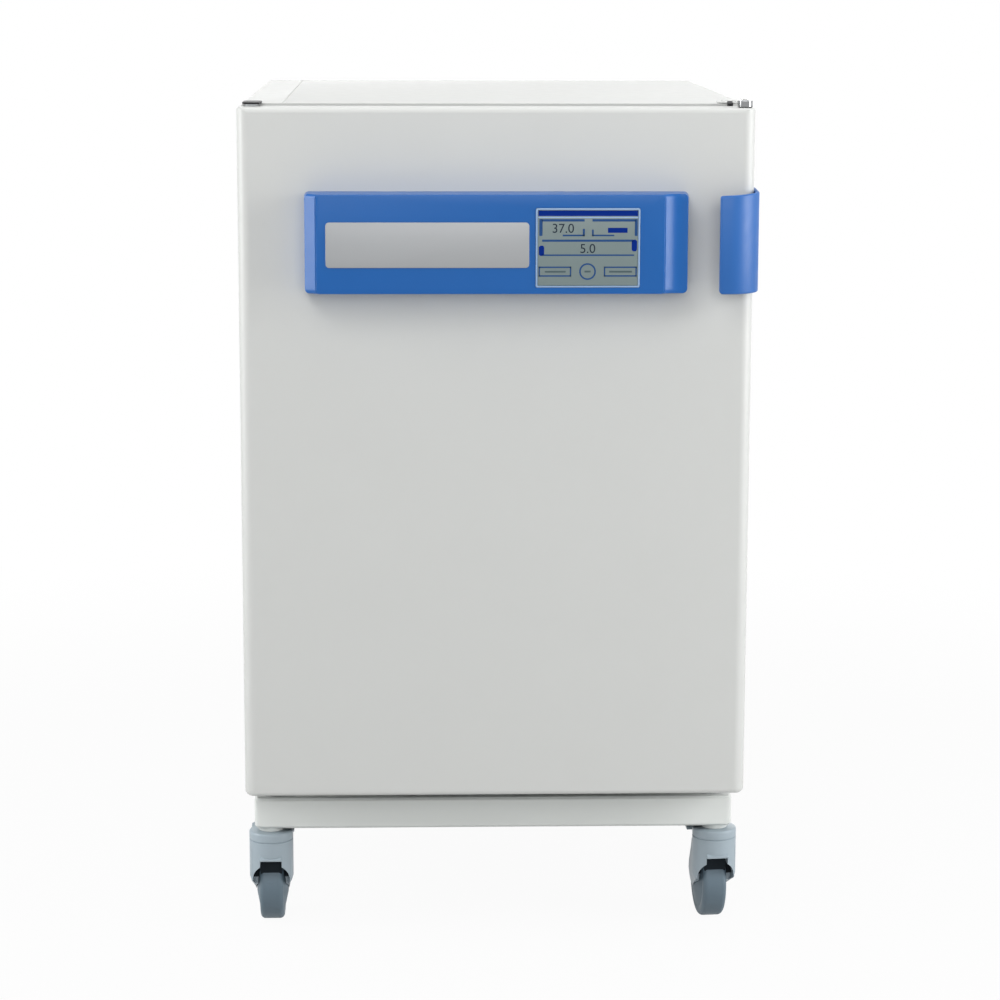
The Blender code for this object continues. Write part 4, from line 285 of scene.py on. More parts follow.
# Marks on the screen: piece, finish, corner in millimetres and (left, bottom, right, top) of each bar in
# millimetres from the frame's lower left corner
SCREEN_BARS = (
    ("title_bar", "ink_navy", 0.3, ((3.0, 87.2, 124.2, 93.8),)),
    ("title_line", "bezel_grey", 0.3, ((2.6, 84.7, 124.4, 86.2),)),
    ("frame_marks", "ink_slate", 0.3, (
        (7.0, 80.5, 59.2, 83.4), (57.1, 62.6, 59.6, 71.6), (32.6, 62.6, 59.6, 64.5),
        (68.8, 80.5, 121.5, 83.4), (68.3, 62.6, 70.4, 70.6), (68.3, 62.6, 95.4, 64.5),
        (7.6, 55.9, 118.5, 58.5), (8.0, 38.6, 119.9, 40.4),
    )),
    ("side_marks", "ink_slate", 0.8, ((4.0, 63.0, 8.0, 83.5), (120.5, 63.0, 123.9, 83.5))),
    ("level_bar", "ink_navy", 0.3, ((87.8, 66.8, 111.6, 72.8),)),
    ("end_marks", "ink_navy", 2.6, ((116.9, 44.2, 123.4, 58.4), (3.6, 38.6, 10.1, 51.2))),
    ("button_marks", "ink_slate", 0.2, (
        (3.5, 13.3, 43.2, 15.0), (3.5, 23.9, 43.2, 25.6), (3.5, 13.3, 5.1, 25.6), (41.6, 13.3, 43.2, 25.6),
        (83.2, 13.3, 123.4, 15.0), (83.2, 23.9, 123.4, 25.6), (83.2, 13.3, 84.8, 25.6),
        (121.8, 13.3, 123.4, 25.6),
    )),
    ("button_faces", "ink_faint", 0.5, (
        (11.0, 18.2, 36.5, 20.4), (89.5, 18.2, 117.5, 20.4), (59.5, 18.4, 67.0, 20.6),
    )),
)

# The ring on the screen, in the same millimetres: its centre, outer and inner radius
SCREEN_RING = (63.2, 19.5, 10.2, 8.3)

# Numbers on the screen: piece, text, left and bottom in the same millimetres
SCREEN_NUMBERS = (("upper_number", "37.0", 19.3, 66.8), ("lower_number", "5.0", 53.4, 42.2))

# CAD nodes that keep their shape and get rounded edges, with the rounding in millimetres
REFINED = {
    "stand_frame": 0.8, "cabinet_shell": 0.5, "front_frame": 0.5, "rear_panel": 0.4,
    "hinge_plate_upper": 0.6, "hinge_plate_lower": 0.6, "catch_plate": 0.4, "catch_keeper": 0.6,
    "catch_pin": 0.3, "catch_roller": 0.3, "castor_1_brake_pedal": 0.8, "castor_2_brake_pedal": 0.8,
    "hinge_bush_upper": 0.3, "hinge_bush_lower": 0.3, "door_liner": 0.8, "rack_left": 0.3,
    "rack_right": 0.3, "latch_knob": 0.5, "latch_keeper": 0.3, "glass_clip_upper": 0.3,
    "glass_clip_lower": 0.3, "glass_hinge_upper": 0.3, "glass_hinge_lower": 0.3, "mains_inlet": 0.4,
    "switch_frame": 0.3, "mains_switch": 0.5, "gas_inlet": 0.3, "air_duct_cover": 0.4, "sensor_head": 0.5,
    "port_sleeve": 0.3, "port_plug": 0.6,
}


def at(x, y, z):
    """A point whose y is measured from the door's front face."""
    return Vector((x, y + FRONT, z))


def rounded_rectangle(low, high, radius, steps=FINE, top_radius=None):
    """Corner points of a rectangle in two coordinates, with round corners."""
    (a0, b0), (a1, b1) = low, high
    most = MOST_CORNER_SHARE * min(a1 - a0, b1 - b0)
    below = max(min(radius, most), LEAST_CORNER)
    above = max(min(radius if top_radius is None else top_radius, most), LEAST_CORNER)
    centres = (
        (a1 - above, b1 - above, 0.0, above),
        (a0 + above, b1 - above, 0.25, above),
        (a0 + below, b0 + below, 0.5, below),
        (a1 - below, b0 + below, 0.75, below),
    )
    points = []
    for a, b, turn, radius in centres:
        for i in range(steps + 1):
            angle = math.tau * (turn + i / steps / 4)
            points.append((a + radius * math.cos(angle), b + radius * math.sin(angle)))
    return points


def upright(low, high, radius, y, steps=FINE, top_radius=None):
    """A round-cornered loop facing along Y; y is measured from the door's front face."""
    return [at(x, y, z) for x, z in rounded_rectangle(low, high, radius, steps, top_radius)]


def loft(loops, closed=False):
    """A body through loops of equal length; its ends are capped unless it closes on itself."""
    bm = bmesh.new()
    rows = [[bm.verts.new(point) for point in loop] for loop in loops]
    pairs = list(zip(rows, rows[1:]))
    if closed:
        pairs.append((rows[-1], rows[0]))
    for first, second in pairs:
        for i in range(len(first)):
            j = (i + 1) % len(first)
            bm.faces.new((first[i], first[j], second[j], second[i]))
    if not closed:
        bm.faces.new(rows[0][::-1])
        bm.faces.new(rows[-1])
    bmesh.ops.recalc_face_normals(bm, faces=bm.faces)
    return bm


def turned(profile, axis, centre, closed=False, segments=ROUND):
    """A turned body: profile holds (radius, place along the axis), centre is a point on the axis."""
    across = {"X": (1, 2), "Y": (2, 0), "Z": (0, 1)}[axis]
    along = "XYZ".index(axis)
    loops = []
    for radius, place in profile:
        loop = []
        for i in range(segments):
            angle = math.tau * i / segments
            point = Vector(centre)
            point[across[0]] += radius * math.cos(angle)
            point[across[1]] += radius * math.sin(angle)
            point[along] += place
            loop.append(point)
        loops.append(loop)
    return loft(loops, closed)


def prism(outline, axis, start, end):
    """An outline of two coordinates swept straight along an axis."""
    order = {"X": (0, 1, 2), "Y": (1, 0, 2), "Z": (2, 0, 1)}[axis]
    loops = []
    for place in (start, end):
        loop = []
        for a, b in outline:
            point = [0.0, 0.0, 0.0]
            point[order[0]], point[order[1]], point[order[2]] = place, a, b
            loop.append(point)
        loops.append(loop)
    return loft(loops)


def mesh_of(bm, name):
    mesh = bpy.data.meshes.new(name)
    bm.to_mesh(mesh)
    bm.free()
    return mesh


def combined(base, tool, operation):
    """The Boolean of two meshes, as a new mesh."""
    made = []
    for label, bm in (("base", base), ("tool", tool)):
        obj = bpy.data.objects.new(label, mesh_of(bm, label))
        bpy.context.scene.collection.objects.link(obj)
        made.append(obj)
    cut = made[0].modifiers.new("cut", "BOOLEAN")
    cut.object = made[1]
    cut.operation = operation
    cut.solver = "EXACT"
    graph = bpy.context.evaluated_depsgraph_get()
    mesh = bpy.data.meshes.new_from_object(made[0].evaluated_get(graph))
    result = bmesh.new()
    result.from_mesh(mesh)
    bpy.data.meshes.remove(mesh)
    for obj in made:
        old = obj.data
        bpy.data.objects.remove(obj, do_unlink=True)
        bpy.data.meshes.remove(old)
    return result


def cut_from(base, *tools):
    for tool in tools:
        base = combined(base, tool, "DIFFERENCE")
    return base


def fused(base, *tools):
    for tool in tools:
        base = combined(base, tool, "UNION")
    return base


class Nodes:
    """A short way to add nodes to one material."""

    def __init__(self, material):
        self.tree = material.node_tree
        self.shader = self.tree.nodes["Principled BSDF"]
        self.places = self.add("ShaderNodeTexCoord").outputs["Object"]

    def add(self, kind, **settings):
        node = self.tree.nodes.new(kind)
        for name, value in settings.items():
            setattr(node, name, value)
        return node

    def link(self, start, end):
        self.tree.links.new(start, end)

    def noise(self, scale, detail, stretch=(1, 1, 1)):
        """Noise with this many waves in a metre; stretch squeezes it along each axis."""
        mapping = self.add("ShaderNodeMapping")
        mapping.inputs["Scale"].default_value = stretch
        self.link(self.places, mapping.inputs["Vector"])
        noise = self.add("ShaderNodeTexNoise")
        noise.inputs["Scale"].default_value = scale
        noise.inputs["Detail"].default_value = detail
        self.link(mapping.outputs["Vector"], noise.inputs["Vector"])
        return noise.outputs["Fac"]

    def ranged(self, value, low, high, to_low, to_high):
        node = self.add("ShaderNodeMapRange")
        for name, number in (("From Min", low), ("From Max", high), ("To Min", to_low), ("To Max", to_high)):
            node.inputs[name].default_value = number
        self.link(value, node.inputs["Value"])
        return node.outputs["Result"]

    def mixed(self, factor, first, second):
        node = self.add("ShaderNodeMix", data_type="RGBA")
        node.inputs["A"].default_value = (*first, 1.0)
        node.inputs["B"].default_value = (*second, 1.0)
        self.link(factor, node.inputs["Factor"])
        return node.outputs["Result"]

    def bump(self, height, strength, distance):
        node = self.add("ShaderNodeBump")
        node.inputs["Strength"].default_value = strength
        node.inputs["Distance"].default_value = distance
        self.link(height, node.inputs["Height"])
        return node.outputs["Normal"]


MATERIALS = {}


def finish(name):
    """A finish with slow colour drift, uneven gloss and a fine relief, made when it is first asked for."""
    if name in MATERIALS:
        return MATERIALS[name]
    colour, roughness, grain, relief, spread, sockets = FINISHES[name]
    sockets = dict(sockets)
    rough_spread = sockets.pop("rough_spread", ROUGH_SPREAD)
    stretch = sockets.pop("stretch", (1, 1, 1))
    made = bpy.data.materials.new(name)
    made.use_nodes = True
    nodes = Nodes(made)
    shader = nodes.shader
    shader.inputs["Metallic"].default_value = sockets.pop("metallic", 0.0)
    for socket, value in sockets.items():
        shader.inputs[socket].default_value = value
    darker = tuple(c * (1 - spread) for c in colour)
    lighter = tuple(min(c * (1 + spread), 1.0) for c in colour)
    nodes.link(nodes.mixed(nodes.noise(*DRIFT_NOISE), darker, lighter), shader.inputs["Base Color"])
    cloud = nodes.noise(*GLOSS_NOISE, stretch)
    gloss = nodes.ranged(cloud, *GLOSS_RANGE, max(roughness - rough_spread, LEAST_ROUGHNESS),
                         roughness + rough_spread)
    nodes.link(gloss, shader.inputs["Roughness"])
    fine = nodes.noise(grain, RELIEF_DETAIL, stretch)
    nodes.link(nodes.bump(fine, relief, RELIEF_DEPTH), shader.inputs["Normal"])
    MATERIALS[name] = made
    return made


def piece(name, shape, material, body, stands_for=(), bevel=0.0):
    """Adds one finer piece: it rides on a body, takes a material slot and may stand for CAD nodes."""
    mesh = mesh_of(shape, name) if isinstance(shape, bmesh.types.BMesh) else shape
    mesh.shade_smooth()
    mesh.set_sharp_from_angle(angle=SMOOTH_ANGLE)
    mesh.materials.clear()
    mesh.materials.append(material)
    obj = bpy.data.objects.new(name, mesh)
    bpy.context.scene.collection.objects.link(obj)
    if bevel:
        edge = obj.modifiers.new("edge", "BEVEL")
        edge.width = bevel
        edge.segments = BEVEL_SEGMENTS
        edge.limit_method = "ANGLE"
        edge.angle_limit = SMOOTH_ANGLE
        edge.harden_normals = True
    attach(obj, body)
    if stands_for:
        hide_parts(*stands_for)
    return obj


def body_of_node(node):
    for body, members in frame["record"]["behaviour"]["bodies"].items():
        if node in members:
            return body
    raise ValueError(node)


def slot_of_node(node):
    for part in frame["record"]["subparts"]:
        if part["node"] == node:
            return part["material_slot"]
    raise ValueError(node)


def refined(node, material, bevel):
    """The CAD node's own shape with its flat faces merged and its edges rounded."""
    bm = bmesh.new()
    bm.from_mesh(frame["nodes"][node].data)
    bmesh.ops.remove_doubles(bm, verts=bm.verts, dist=MERGE_DISTANCE)
    bmesh.ops.dissolve_limit(bm, angle_limit=FLAT_ANGLE, verts=bm.verts, edges=bm.edges)
    return piece(f"{node}_fine", bm, material, body_of_node(node), (node,), bevel)


def door_outline(inset, y, radius=DOOR_CORNER):
    low = (door_low.x + inset, door_low.z + inset)
    high = (door_high.x - inset, door_high.z - inset)
    return upright(low, high, radius, y, top_radius=DOOR_TOP_CORNER)


def door_front(wall, steps):
    """Loops of the door's front with softer vertical edges than ends; wall offsets them inwards."""
    loops = []
    for i in range(steps + 1):
        angle = math.pi / 2 * i / steps
        depth = DOOR_SIDE_ROUNDING * (1 - math.cos(angle))
        side = DOOR_SIDE_ROUNDING * (1 - math.sin(angle))
        below = max(DOOR_END_ROUNDING - depth, 0.0)
        end = DOOR_END_ROUNDING - math.sqrt(DOOR_END_ROUNDING**2 - below**2)
        low = (door_low.x + wall + side, door_low.z + wall + end)
        high = (door_high.x - wall - side, door_high.z - wall - end)
        loops.append(upright(low, high, DOOR_CORNER, depth + wall, top_radius=DOOR_TOP_CORNER))
    return loops


def door_skin():
    back = door_high.y - FRONT
    outside = door_front(0.0, 2 * FINE) + [door_outline(0.0, back)]
    inside = [door_outline(SHEET, back)] + door_front(SHEET, FINE)[::-1]
    piece("door_skin", loft(outside + inside), finish("powder_coat"), "outer_door",
          ("door_shell",))


def housing():
    """The blue housing: a sloped left end, a flat front and a scoop with a thin edge at the right end."""
    low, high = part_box("control_panel")
    front, back = low.y - FRONT, high.y - FRONT
    far_right, far_left = high.x - SCOOP_INSET, low.x + CHAMFER_INSET
    reach = (far_right - HOUSING_EDGE - HOUSING_FRONT_RIGHT) / math.sin(SCOOP_TILT)
    profile = []
    for i in range(SCOOP_STEPS + 1):
        tilt = SCOOP_TILT * (1 - i / SCOOP_STEPS)
        profile.append((HOUSING_FRONT_RIGHT + reach * (math.sin(SCOOP_TILT) - math.sin(tilt)),
                        front + reach * (math.cos(tilt) - math.cos(SCOOP_TILT))))
    scoop_back = profile[-1][1]
    for k in range(1, EDGE_STEPS + 1):
        turn = math.pi / 2 * k / EDGE_STEPS
        profile.append((far_right - HOUSING_EDGE * (1 - math.sin(turn)),
                        scoop_back + HOUSING_EDGE * (1 - math.cos(turn))))
    profile.append((high.x, back))
    loops = []
    for i, (right, y) in enumerate(profile):
        depth = (y - front) / (back - front)
        slope = min((y - front) / (scoop_back - front), 1.0)
        left = low.x if y == back else HOUSING_FRONT_LEFT + (far_left - HOUSING_FRONT_LEFT) * slope
        draft = HOUSING_DRAFT * (1 - depth)
        if i == 0:
            for k in range(EDGE_STEPS):
                turn = math.pi / 2 * k / EDGE_STEPS
                inset = HOUSING_EDGE * (1 - math.sin(turn))
                loops.append(upright((left + inset, low.z + draft + inset),
                                     (right - inset, high.z - draft - inset),
                                     HOUSING_CORNER - inset, y + HOUSING_EDGE * (1 - math.cos(turn))))
            y += HOUSING_EDGE
        loops.append(upright((left, low.z + draft), (right, high.z - draft), HOUSING_CORNER, y))
    frame_low, frame_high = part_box("display_bezel")
    frame_high.z -= FRAME_TOP_TRIM
    pocket = loft([
        upright((frame_low.x - POCKET_GAP, frame_low.z - POCKET_GAP),
                (frame_high.x + POCKET_GAP, frame_high.z + POCKET_GAP), FRAME_CORNER, place)
        for place in (front - CUT_PAST, frame_high.y - FRONT + POCKET_GAP)
    ])
    piece("housing", cut_from(loft(loops), pocket), finish("moulded_blue"), "outer_door",
          ("control_panel",))


def soft_plate(low, high, corner, edge):
    """A flat plate as large as a box, with its front edge rounded."""
    front, back = low.y - FRONT, high.y - FRONT
    loops = []
    for k in range(EDGE_STEPS + 1):
        turn = math.pi / 2 * k / EDGE_STEPS
        inset = edge * (1 - math.sin(turn))
        loops.append(upright((low.x + inset, low.z + inset), (high.x - inset, high.z - inset),
                             corner - inset, front + edge * (1 - math.cos(turn))))
    loops.append(upright((low.x, low.z), (high.x, high.z), corner, back))
    return loft(loops)


def plate():
    low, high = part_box("label_plate")
    piece("plate", soft_plate(low, high, PLATE_CORNER, PLATE_EDGE), finish("plate_silver"), "outer_door",
          ("label_plate",))


def display():
    low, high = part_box("display_bezel")
    high.z -= FRAME_TOP_TRIM
    front = low.y - FRONT
    window = loft([
        upright((low.x + FRAME_WIDTH, low.z + FRAME_WIDTH), (high.x - FRAME_WIDTH, high.z - FRAME_WIDTH),
                FRAME_CORNER / 2, y)
        for y in (front - CUT_PAST, front + FRAME_WINDOW_DEPTH)
    ])
    shape = cut_from(soft_plate(low, high, FRAME_CORNER, FRAME_EDGE), window)
    piece("display_frame", shape, finish("bezel_grey"), "outer_door", ("display_bezel",))
    low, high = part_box("display_screen")
    high.z -= FRAME_TOP_TRIM
    shape = soft_plate(low, high, FRAME_CORNER / 2, SCREEN_EDGE)
    piece("display_panel", shape, finish("screen_green"), "outer_door", ("display_screen",))


def bars(name, rectangles, material, corner):
    """Flat marks on the screen, placed in mm from the frame's lower left corner."""
    frame_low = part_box("display_bezel")[0]
    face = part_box("display_screen")[0].y - FRONT
    whole = bmesh.new()
    for left, bottom, right, top in rectangles:
        low = (frame_low.x + left * MM, frame_low.z + bottom * MM)
        high = (frame_low.x + right * MM, frame_low.z + top * MM)
        mark = loft([upright(low, high, corner, y, MARK_CORNER_STEPS) for y in (face - INK, face + INK)])
        mesh = mesh_of(mark, "mark")
        whole.from_mesh(mesh)
        bpy.data.meshes.remove(mesh)
    piece(name, whole, material, "outer_door")


def ring_mark():
    """The round mark between the two buttons on the screen."""
    frame_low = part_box("display_bezel")[0]
    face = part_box("display_screen")[0].y - FRONT
    across, up, outer, inner = (value * MM for value in SCREEN_RING)
    profile = [(outer, face - INK), (outer, face + INK), (inner, face + INK), (inner, face - INK)]
    shape = turned(profile, "Y", at(frame_low.x + across, 0, frame_low.z + up), closed=True)
    piece("ring_mark", shape, finish("ink_slate"), "outer_door")


def digits(name, text, left, bottom):
    """A number on the screen, placed in mm from the frame's lower left corner."""
    frame_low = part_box("display_bezel")[0]
    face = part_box("display_screen")[0].y
    curve = bpy.data.curves.new(name, "FONT")
    curve.body = text
    curve.size = DIGIT_SIZE
    curve.extrude = INK
    helper = bpy.data.objects.new(f"{name}_curve", curve)
    bpy.context.scene.collection.objects.link(helper)
    bpy.context.view_layer.update()
    graph = bpy.context.evaluated_depsgraph_get()
    mesh = bpy.data.meshes.new_from_object(helper.evaluated_get(graph))
    mesh.transform(Matrix.Translation((frame_low.x + left * MM, face, frame_low.z + bottom * MM))
                   @ Matrix.Rotation(math.pi / 2, 4, "X"))
    bpy.data.objects.remove(helper, do_unlink=True)
    piece(name, mesh, finish("ink_dark"), "outer_door")


def corner_lift(distance, radius):
    """How far a round corner of this radius lifts an edge at this distance from its end."""
    if distance >= radius:
        return 0.0
    return radius - math.sqrt(radius**2 - (radius - distance) ** 2)


def handle():
    """A curved blade: a flat front, a quarter turn and a tail along the door's side."""
    low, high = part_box("door_handle")
    half = HANDLE_THICKNESS / 2
    right = high.x - HANDLE_TAIL_THICKNESS / 2
    front = -HANDLE_FRONT + half
    bend_x, bend_y = right - low.x - HANDLE_FLAT, HANDLE_FRONT - half
    nose = [math.pi / 2 * k / EDGE_STEPS for k in range(EDGE_STEPS + 1)]
    points = [(low.x + half * (1 - math.cos(angle)), front) for angle in nose]
    widths = [math.sin(max(angle, HANDLE_TIP * nose[1])) for angle in nose]
    for k in range(1, HANDLE_FLAT_STEPS):
        points.append((low.x + half + (HANDLE_FLAT - half) * k / HANDLE_FLAT_STEPS, front))
    for i in range(HANDLE_ARC_STEPS + 1):
        angle = math.pi / 2 * i / HANDLE_ARC_STEPS
        points.append((low.x + HANDLE_FLAT + bend_x * math.sin(angle),
                       front + bend_y * (1 - math.cos(angle))))
    for k in range(1, HANDLE_TAIL_STEPS + 1):
        points.append((right, HANDLE_TAIL * k / HANDLE_TAIL_STEPS))
    widths += [1.0] * (len(points) - len(widths))
    lengths = [0.0]
    for (x0, y0), (x1, y1) in zip(points, points[1:]):
        lengths.append(lengths[-1] + math.hypot(x1 - x0, y1 - y0))
    whole = lengths[-1]
    top_front = high.z - HANDLE_RISE
    loops = []
    for i, (x, y) in enumerate(points):
        before, after = points[max(i - 1, 0)], points[min(i + 1, len(points) - 1)]
        along = Vector((after[0] - before[0], after[1] - before[1], 0)).normalized()
        done, left = lengths[i], whole - lengths[i]
        share = min(done / (whole - HANDLE_TAIL), 1.0)
        thickness = HANDLE_THICKNESS + (HANDLE_TAIL_THICKNESS - HANDLE_THICKNESS) * share
        out = Vector((along.y, -along.x, 0)) * thickness / 2 * widths[i]
        bottom = low.z + corner_lift(done, HANDLE_CORNER_FRONT) + corner_lift(left, HANDLE_CORNER_BACK)
        top = top_front + (high.z - top_front) * done / whole - corner_lift(done, HANDLE_TOP_CORNER)
        edge = thickness / 2
        loop = []
        for side, level in ((1, top - edge), (-1, bottom + edge)):
            for k in range(HANDLE_RIM_STEPS + 1):
                angle = math.pi * k / HANDLE_RIM_STEPS
                point = at(x, y, 0) + side * out * math.cos(angle)
                point.z = level + side * edge * math.sin(angle)
                loop.append(point)
        loops.append(loop)
    piece("handle", loft(loops), finish("handle_blue"), "outer_door", ("door_handle",))


def joint_place(name):
    for joint in frame["joints"]:
        if joint["name"] == name:
            return Vector(joint["pos_m"])
    raise ValueError(name)


def rod(axis, centre, radius, start, end, segments=ROUND):
    return turned([(radius, start), (radius, end)], axis, centre, segments=segments)


def arc(centre, radius, start, end, steps):
    """Points on an arc, with its angles in degrees."""
    return [
        (centre[0] + radius * math.cos(math.radians(start + (end - start) * i / steps)),
         centre[1] + radius * math.sin(math.radians(start + (end - start) * i / steps)))
        for i in range(steps + 1)
    ]


def window_outline(bottom):
    """The front window of a castor's housing, down to a height."""
    half = WINDOW_WIDTH / 2
    return rounded_rectangle((-half, bottom), (half, WINDOW_TOP), WINDOW_CORNER, EDGE_STEPS)


def housing_of_castor(wheel, top, lugs):
    """A castor's housing about its swivel axis: a turned head, a fork round the wheel and a front window."""
    radius, edge = CASTOR_HEAD / 2, CASTOR_ROUNDING
    crown = arc((radius - edge, top - edge), edge, 90, 0, CROWN_STEPS)
    groove = top - GROOVE_DROP
    lip = GROOVE_WIDTH / 2
    taper_in, taper_up = SKIRT_TAPER
    profile = [(STEM_RADIUS, top), *crown, (radius, groove + lip), (radius - GROOVE_DEPTH, groove + lip / 3),
               (radius - GROOVE_DEPTH, groove - lip / 3), (radius, groove - lip),
               (radius, SKIRT_BOTTOM + taper_up), (radius - taper_in, SKIRT_BOTTOM),
               (STEM_RADIUS, SKIRT_BOTTOM)]
    head = turned(profile, "Z", (0, 0, 0))
    lobe = arc((wheel.y, wheel.z), FORK_LOBE, *LOBE_ARC)
    outline = [FORK_TOP, *FORK_BACK, *lobe, (-radius / 2, SKIRT_BOTTOM + edge), (-radius / 2, FORK_TOP[1])]
    fork = prism(outline, "X", -FORK_WIDTH / 2, FORK_WIDTH / 2)
    bmesh.ops.bisect_plane(fork, geom=[*fork.verts, *fork.edges, *fork.faces],
                           plane_co=(0, 0, FORK_TAPER_TOP), plane_no=(0, 0, 1))
    for vert in fork.verts:
        if vert.co.z < FORK_TAPER_TOP:
            vert.co.x -= math.copysign(FORK_TAPER * (FORK_TAPER_TOP - vert.co.z), vert.co.x)
    body = fused(head, fork)
    window = prism(window_outline(wheel.z), "Y", -CASTOR_HEAD, 0)
    arch = rod("Y", (0, 0, ARCH_CENTRE), ARCH_RADIUS, -CASTOR_HEAD, ARCH_BACK)
    body = cut_from(body, wheel_well(wheel), window, arch)
    axle_end = FORK_WIDTH / 2 - FORK_TAPER * (FORK_TAPER_TOP - wheel.z) - AXLE_SUNK
    axle = rod("X", wheel, AXLE_RADIUS, -axle_end, axle_end, AXLE_SEGMENTS)
    lip_front = -radius - LIP_PROUD
    lip_outline = [(-radius + edge, WINDOW_TOP + LIP_HEIGHT / 2), (lip_front, WINDOW_TOP - LIP_HEIGHT / 2),
                   (lip_front, WINDOW_TOP - LIP_HEIGHT), (-radius + edge, WINDOW_TOP - LIP_HEIGHT)]
    lip_half = WINDOW_WIDTH / 2 + LIP_OVERLAP
    lip = prism(lip_outline, "X", -lip_half, lip_half)
    return fused(body, axle, lip, *lugs)


def wheel_well(wheel):
    """The room that a castor's wheel turns in."""
    side = [(wheel_radius + WHEEL_CLEARANCE, half + WHEEL_SIDE_GAP) for wheel_radius, half in WHEEL_SIDE]
    return turned(side + [(r, -x) for r, x in side[::-1]], "X", wheel)


def castor_shade_plate(wheel):
    """Painted shade inside a castor: a dark plate behind the front window and a dark crescent behind the arch
    stand for the shade there.
    """
    plate = prism(window_outline(SHADE_PLATE_BOTTOM), "Y", SHADE_PLATE_FRONT, SHADE_PLATE_BACK)
    outline = arc((0, ARCH_CENTRE), ARCH_RADIUS - SHADE_CRESCENT_GAP, SHADE_CRESCENT_START, 180 - SHADE_CRESCENT_START, SHADE_CRESCENT_STEPS)
    shade_crescent = prism(outline, "Y", ARCH_BACK - SHADE_CRESCENT_THICKNESS, ARCH_BACK - SHADE_CRESCENT_GAP)
    return fused(plate, cut_from(shade_crescent, wheel_well(wheel)))


def wheel_of_castor(centre):
    """A wheel with coned sides, a hub ring and a softly rounded tread."""
    tread = WHEEL_WIDTH / 2
    centre_x, centre_r = tread - WHEEL_EDGE, WHEEL_RADIUS - WHEEL_EDGE
    round_edge = [(r, x) for x, r in arc((centre_x, centre_r), WHEEL_EDGE, 0, 90, WHEEL_EDGE_STEPS)]
    (hub, hub_half), (shoulder, shoulder_half), (cone, _), _ = WHEEL_SIDE
    half = [(AXLE_RADIUS + HUB_GAP, hub_half - HUB_STEP), (hub - HUB_STEP, hub_half),
            (hub, hub_half - HUB_STEP), (hub + HUB_FOOT[0], shoulder_half + HUB_FOOT[1]),
            (shoulder, shoulder_half)]
    half += [(cone + out, tread + proud) for out, proud in TREAD_JOINT] + round_edge
    profile = half + [(r, -x) for r, x in half[::-1]]
    return turned(profile, "X", centre, closed=True, segments=WHEEL_SEGMENTS)


def castors():
    for number in (1, 2, 3, 4):
        swivel = joint_place(f"castor_{number}_swivel")
        hub = joint_place(f"castor_{number}_spin")
        trail = Vector((hub.x - swivel.x, hub.y - swivel.y, 0))
        turn = math.atan2(-trail.x, trail.y)
        place = Matrix.Translation((swivel.x, swivel.y, 0)) @ Matrix.Rotation(turn, 4, "Z")
        wheel = Vector((0, trail.length, hub.z))
        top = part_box(f"castor_{number}_housing")[1].z
        lugs = []
        if f"castor_{number}_brake_pedal" in frame["nodes"]:
            pivot = joint_place(f"brake_pedal_{number}_press")
            back = math.hypot(pivot.x - swivel.x, pivot.y - swivel.y)
            for side in (-1, 1):
                inner, outer = sorted((side * LUG_INNER, side * (LUG_INNER + LUG_THICKNESS)))
                outline = rounded_rectangle((CASTOR_HEAD / 2 - LUG_ROOT, pivot.z - LUG_WIDTH / 2),
                                            (back + LUG_WIDTH / 2, pivot.z + LUG_WIDTH / 2),
                                            LUG_WIDTH / 2, LUG_STEPS)
                lugs.append(prism(outline, "X", inner, outer))
            lugs.append(rod("X", (0, back, pivot.z), LUG_PIN, -LUG_INNER - LUG_THICKNESS / 2,
                            LUG_INNER + LUG_THICKNESS / 2, PIN_SEGMENTS))
        shape = housing_of_castor(wheel, top, lugs)
        shape.transform(place)
        piece(f"castor_{number}_shroud", shape, finish("castor_grey"), f"castor_{number}",
              (f"castor_{number}_housing",), CASTOR_EDGE)
        # The dark plate and crescent paint in the shade inside the castor
        shape = castor_shade_plate(wheel)
        shape.transform(place)
        piece(f"castor_{number}_shade_plate", shape, finish("painted_shade_black"), f"castor_{number}")
        shape = wheel_of_castor(wheel)
        shape.transform(place)
        piece(f"castor_{number}_tyre", shape, finish("tread_grey"), f"castor_{number}_wheel",
              (f"castor_{number}_wheel",))


def camera():
    data = bpy.data.cameras.new("camera")
    data.lens = FOCAL_LENGTH
    data.sensor_width = SENSOR
    obj = bpy.data.objects.new("camera", data)
    bpy.context.scene.collection.objects.link(obj)
    place = Vector(CAMERA_PLACE) + Vector((0, FRONT, DOOR_BOTTOM))
    obj.matrix_world = (
        Matrix.Translation(place)
        @ Matrix.Rotation(CAMERA_TURN, 4, "Z")
        @ Matrix.Rotation(CAMERA_TILT, 4, "X")
        @ Matrix.Rotation(CAMERA_ROLL, 4, "Z")
    )
    bpy.context.scene.camera = obj


def white_for_camera(tree, shader, share):
    """Mixes plain white into a shader for camera, glossy and transmission rays; share is a socket."""
    path = tree.nodes.new("ShaderNodeLightPath")
    white = tree.nodes.new("ShaderNodeEmission")
    white.inputs["Color"].default_value = (1, 1, 1, 1)
    white.inputs["Strength"].default_value = 1.0
    most = path.outputs["Is Camera Ray"]
    for name in ("Is Glossy Ray", "Is Transmission Ray"):
        either = tree.nodes.new("ShaderNodeMath")
        either.operation = "MAXIMUM"
        tree.links.new(most, either.inputs[0])
        tree.links.new(path.outputs[name], either.inputs[1])
        most = either.outputs["Value"]
    if share:
        scaled = tree.nodes.new("ShaderNodeMath")
        scaled.operation = "MULTIPLY"
        tree.links.new(most, scaled.inputs[0])
        tree.links.new(share, scaled.inputs[1])
        most = scaled.outputs["Value"]
    mix = tree.nodes.new("ShaderNodeMixShader")
    tree.links.new(most, mix.inputs["Fac"])
    tree.links.new(shader, mix.inputs[1])
    tree.links.new(white.outputs["Emission"], mix.inputs[2])
    return mix.outputs["Shader"]


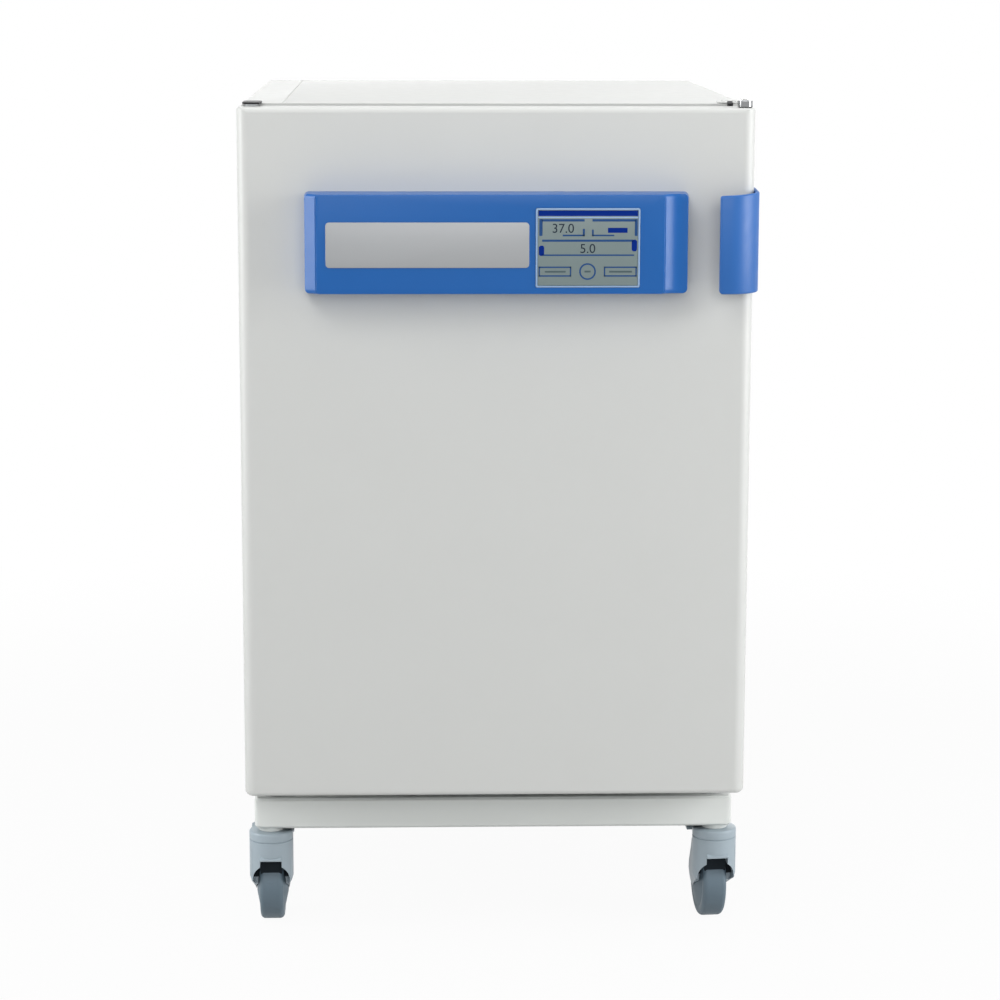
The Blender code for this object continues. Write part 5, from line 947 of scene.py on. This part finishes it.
def floor():
    """A pale floor: it takes the object's shadow near by and runs out to plain white."""
    bm = bmesh.new()
    bmesh.ops.create_grid(bm, x_segments=FLOOR_SQUARES, y_segments=FLOOR_SQUARES, size=FLOOR_HALF)
    obj = bpy.data.objects.new("floor", mesh_of(bm, "floor"))
    bpy.context.scene.collection.objects.link(obj)
    made = bpy.data.materials.new("studio_floor")
    made.use_nodes = True
    tree = made.node_tree
    shader = tree.nodes["Principled BSDF"]
    shader.inputs["Base Color"].default_value = (*FLOOR_PAINT, 1)
    shader.inputs["Roughness"].default_value = FLOOR_ROUGHNESS
    shader.inputs[SPECULAR].default_value = FLOOR_SPECULAR
    place = tree.nodes.new("ShaderNodeTexCoord")
    distance = tree.nodes.new("ShaderNodeVectorMath")
    distance.operation = "LENGTH"
    share = tree.nodes.new("ShaderNodeMapRange")
    share.interpolation_type = "SMOOTHSTEP"
    for name, number in (("From Min", FLOOR_NEAR), ("From Max", FLOOR_FAR), ("To Min", FLOOR_WHITE_NEAR),
                         ("To Max", 1.0)):
        share.inputs[name].default_value = number
    tree.links.new(place.outputs["Object"], distance.inputs[0])
    tree.links.new(distance.outputs["Value"], share.inputs["Value"])
    surface = white_for_camera(tree, shader.outputs["BSDF"], share.outputs["Result"])
    tree.links.new(surface, tree.nodes["Material Output"].inputs["Surface"])
    obj.data.materials.append(made)


def world():
    made = bpy.data.worlds.new("studio")
    bpy.context.scene.world = made
    made.use_nodes = True
    tree = made.node_tree
    background = tree.nodes["Background"]
    background.inputs["Color"].default_value = (1, 1, 1, 1)
    background.inputs["Strength"].default_value = WORLD_LEVEL
    output = tree.nodes["World Output"]
    tree.links.new(white_for_camera(tree, background.outputs["Background"], None), output.inputs["Surface"])


def area_light(name, place, target, size, power):
    data = bpy.data.lights.new(name, "AREA")
    data.shape = "RECTANGLE"
    data.size, data.size_y = size
    data.energy = power
    obj = bpy.data.objects.new(name, data)
    bpy.context.scene.collection.objects.link(obj)
    obj.location = place
    obj.rotation_euler = (Vector(target) - Vector(place)).to_track_quat("-Z", "Y").to_euler()
    obj.visible_camera = False


def lights():
    for name, place, target, size, power in LIGHTS:
        area_light(name, place, target, size, power)


def dress_remaining():
    """Better finishes for the CAD nodes that keep their own shape."""
    for name, obj in frame["nodes"].items():
        obj.data.materials.clear()
        obj.data.materials.append(finish(NODE_FINISH.get(name) or SLOT_FINISH[slot_of_node(name)]))


bpy.context.scene.view_settings.view_transform = "Standard"
camera()
world()
floor()
lights()
dress_remaining()
door_skin()
housing()
plate()
display()
for name, ink, corner, rectangles in SCREEN_BARS:
    bars(name, rectangles, finish(ink), corner * MM)
ring_mark()
for name, text, left, bottom in SCREEN_NUMBERS:
    digits(name, text, left, bottom)
handle()
castors()
for node, width in REFINED.items():
    refined(node, frame["nodes"][node].data.materials[0], width * MM)
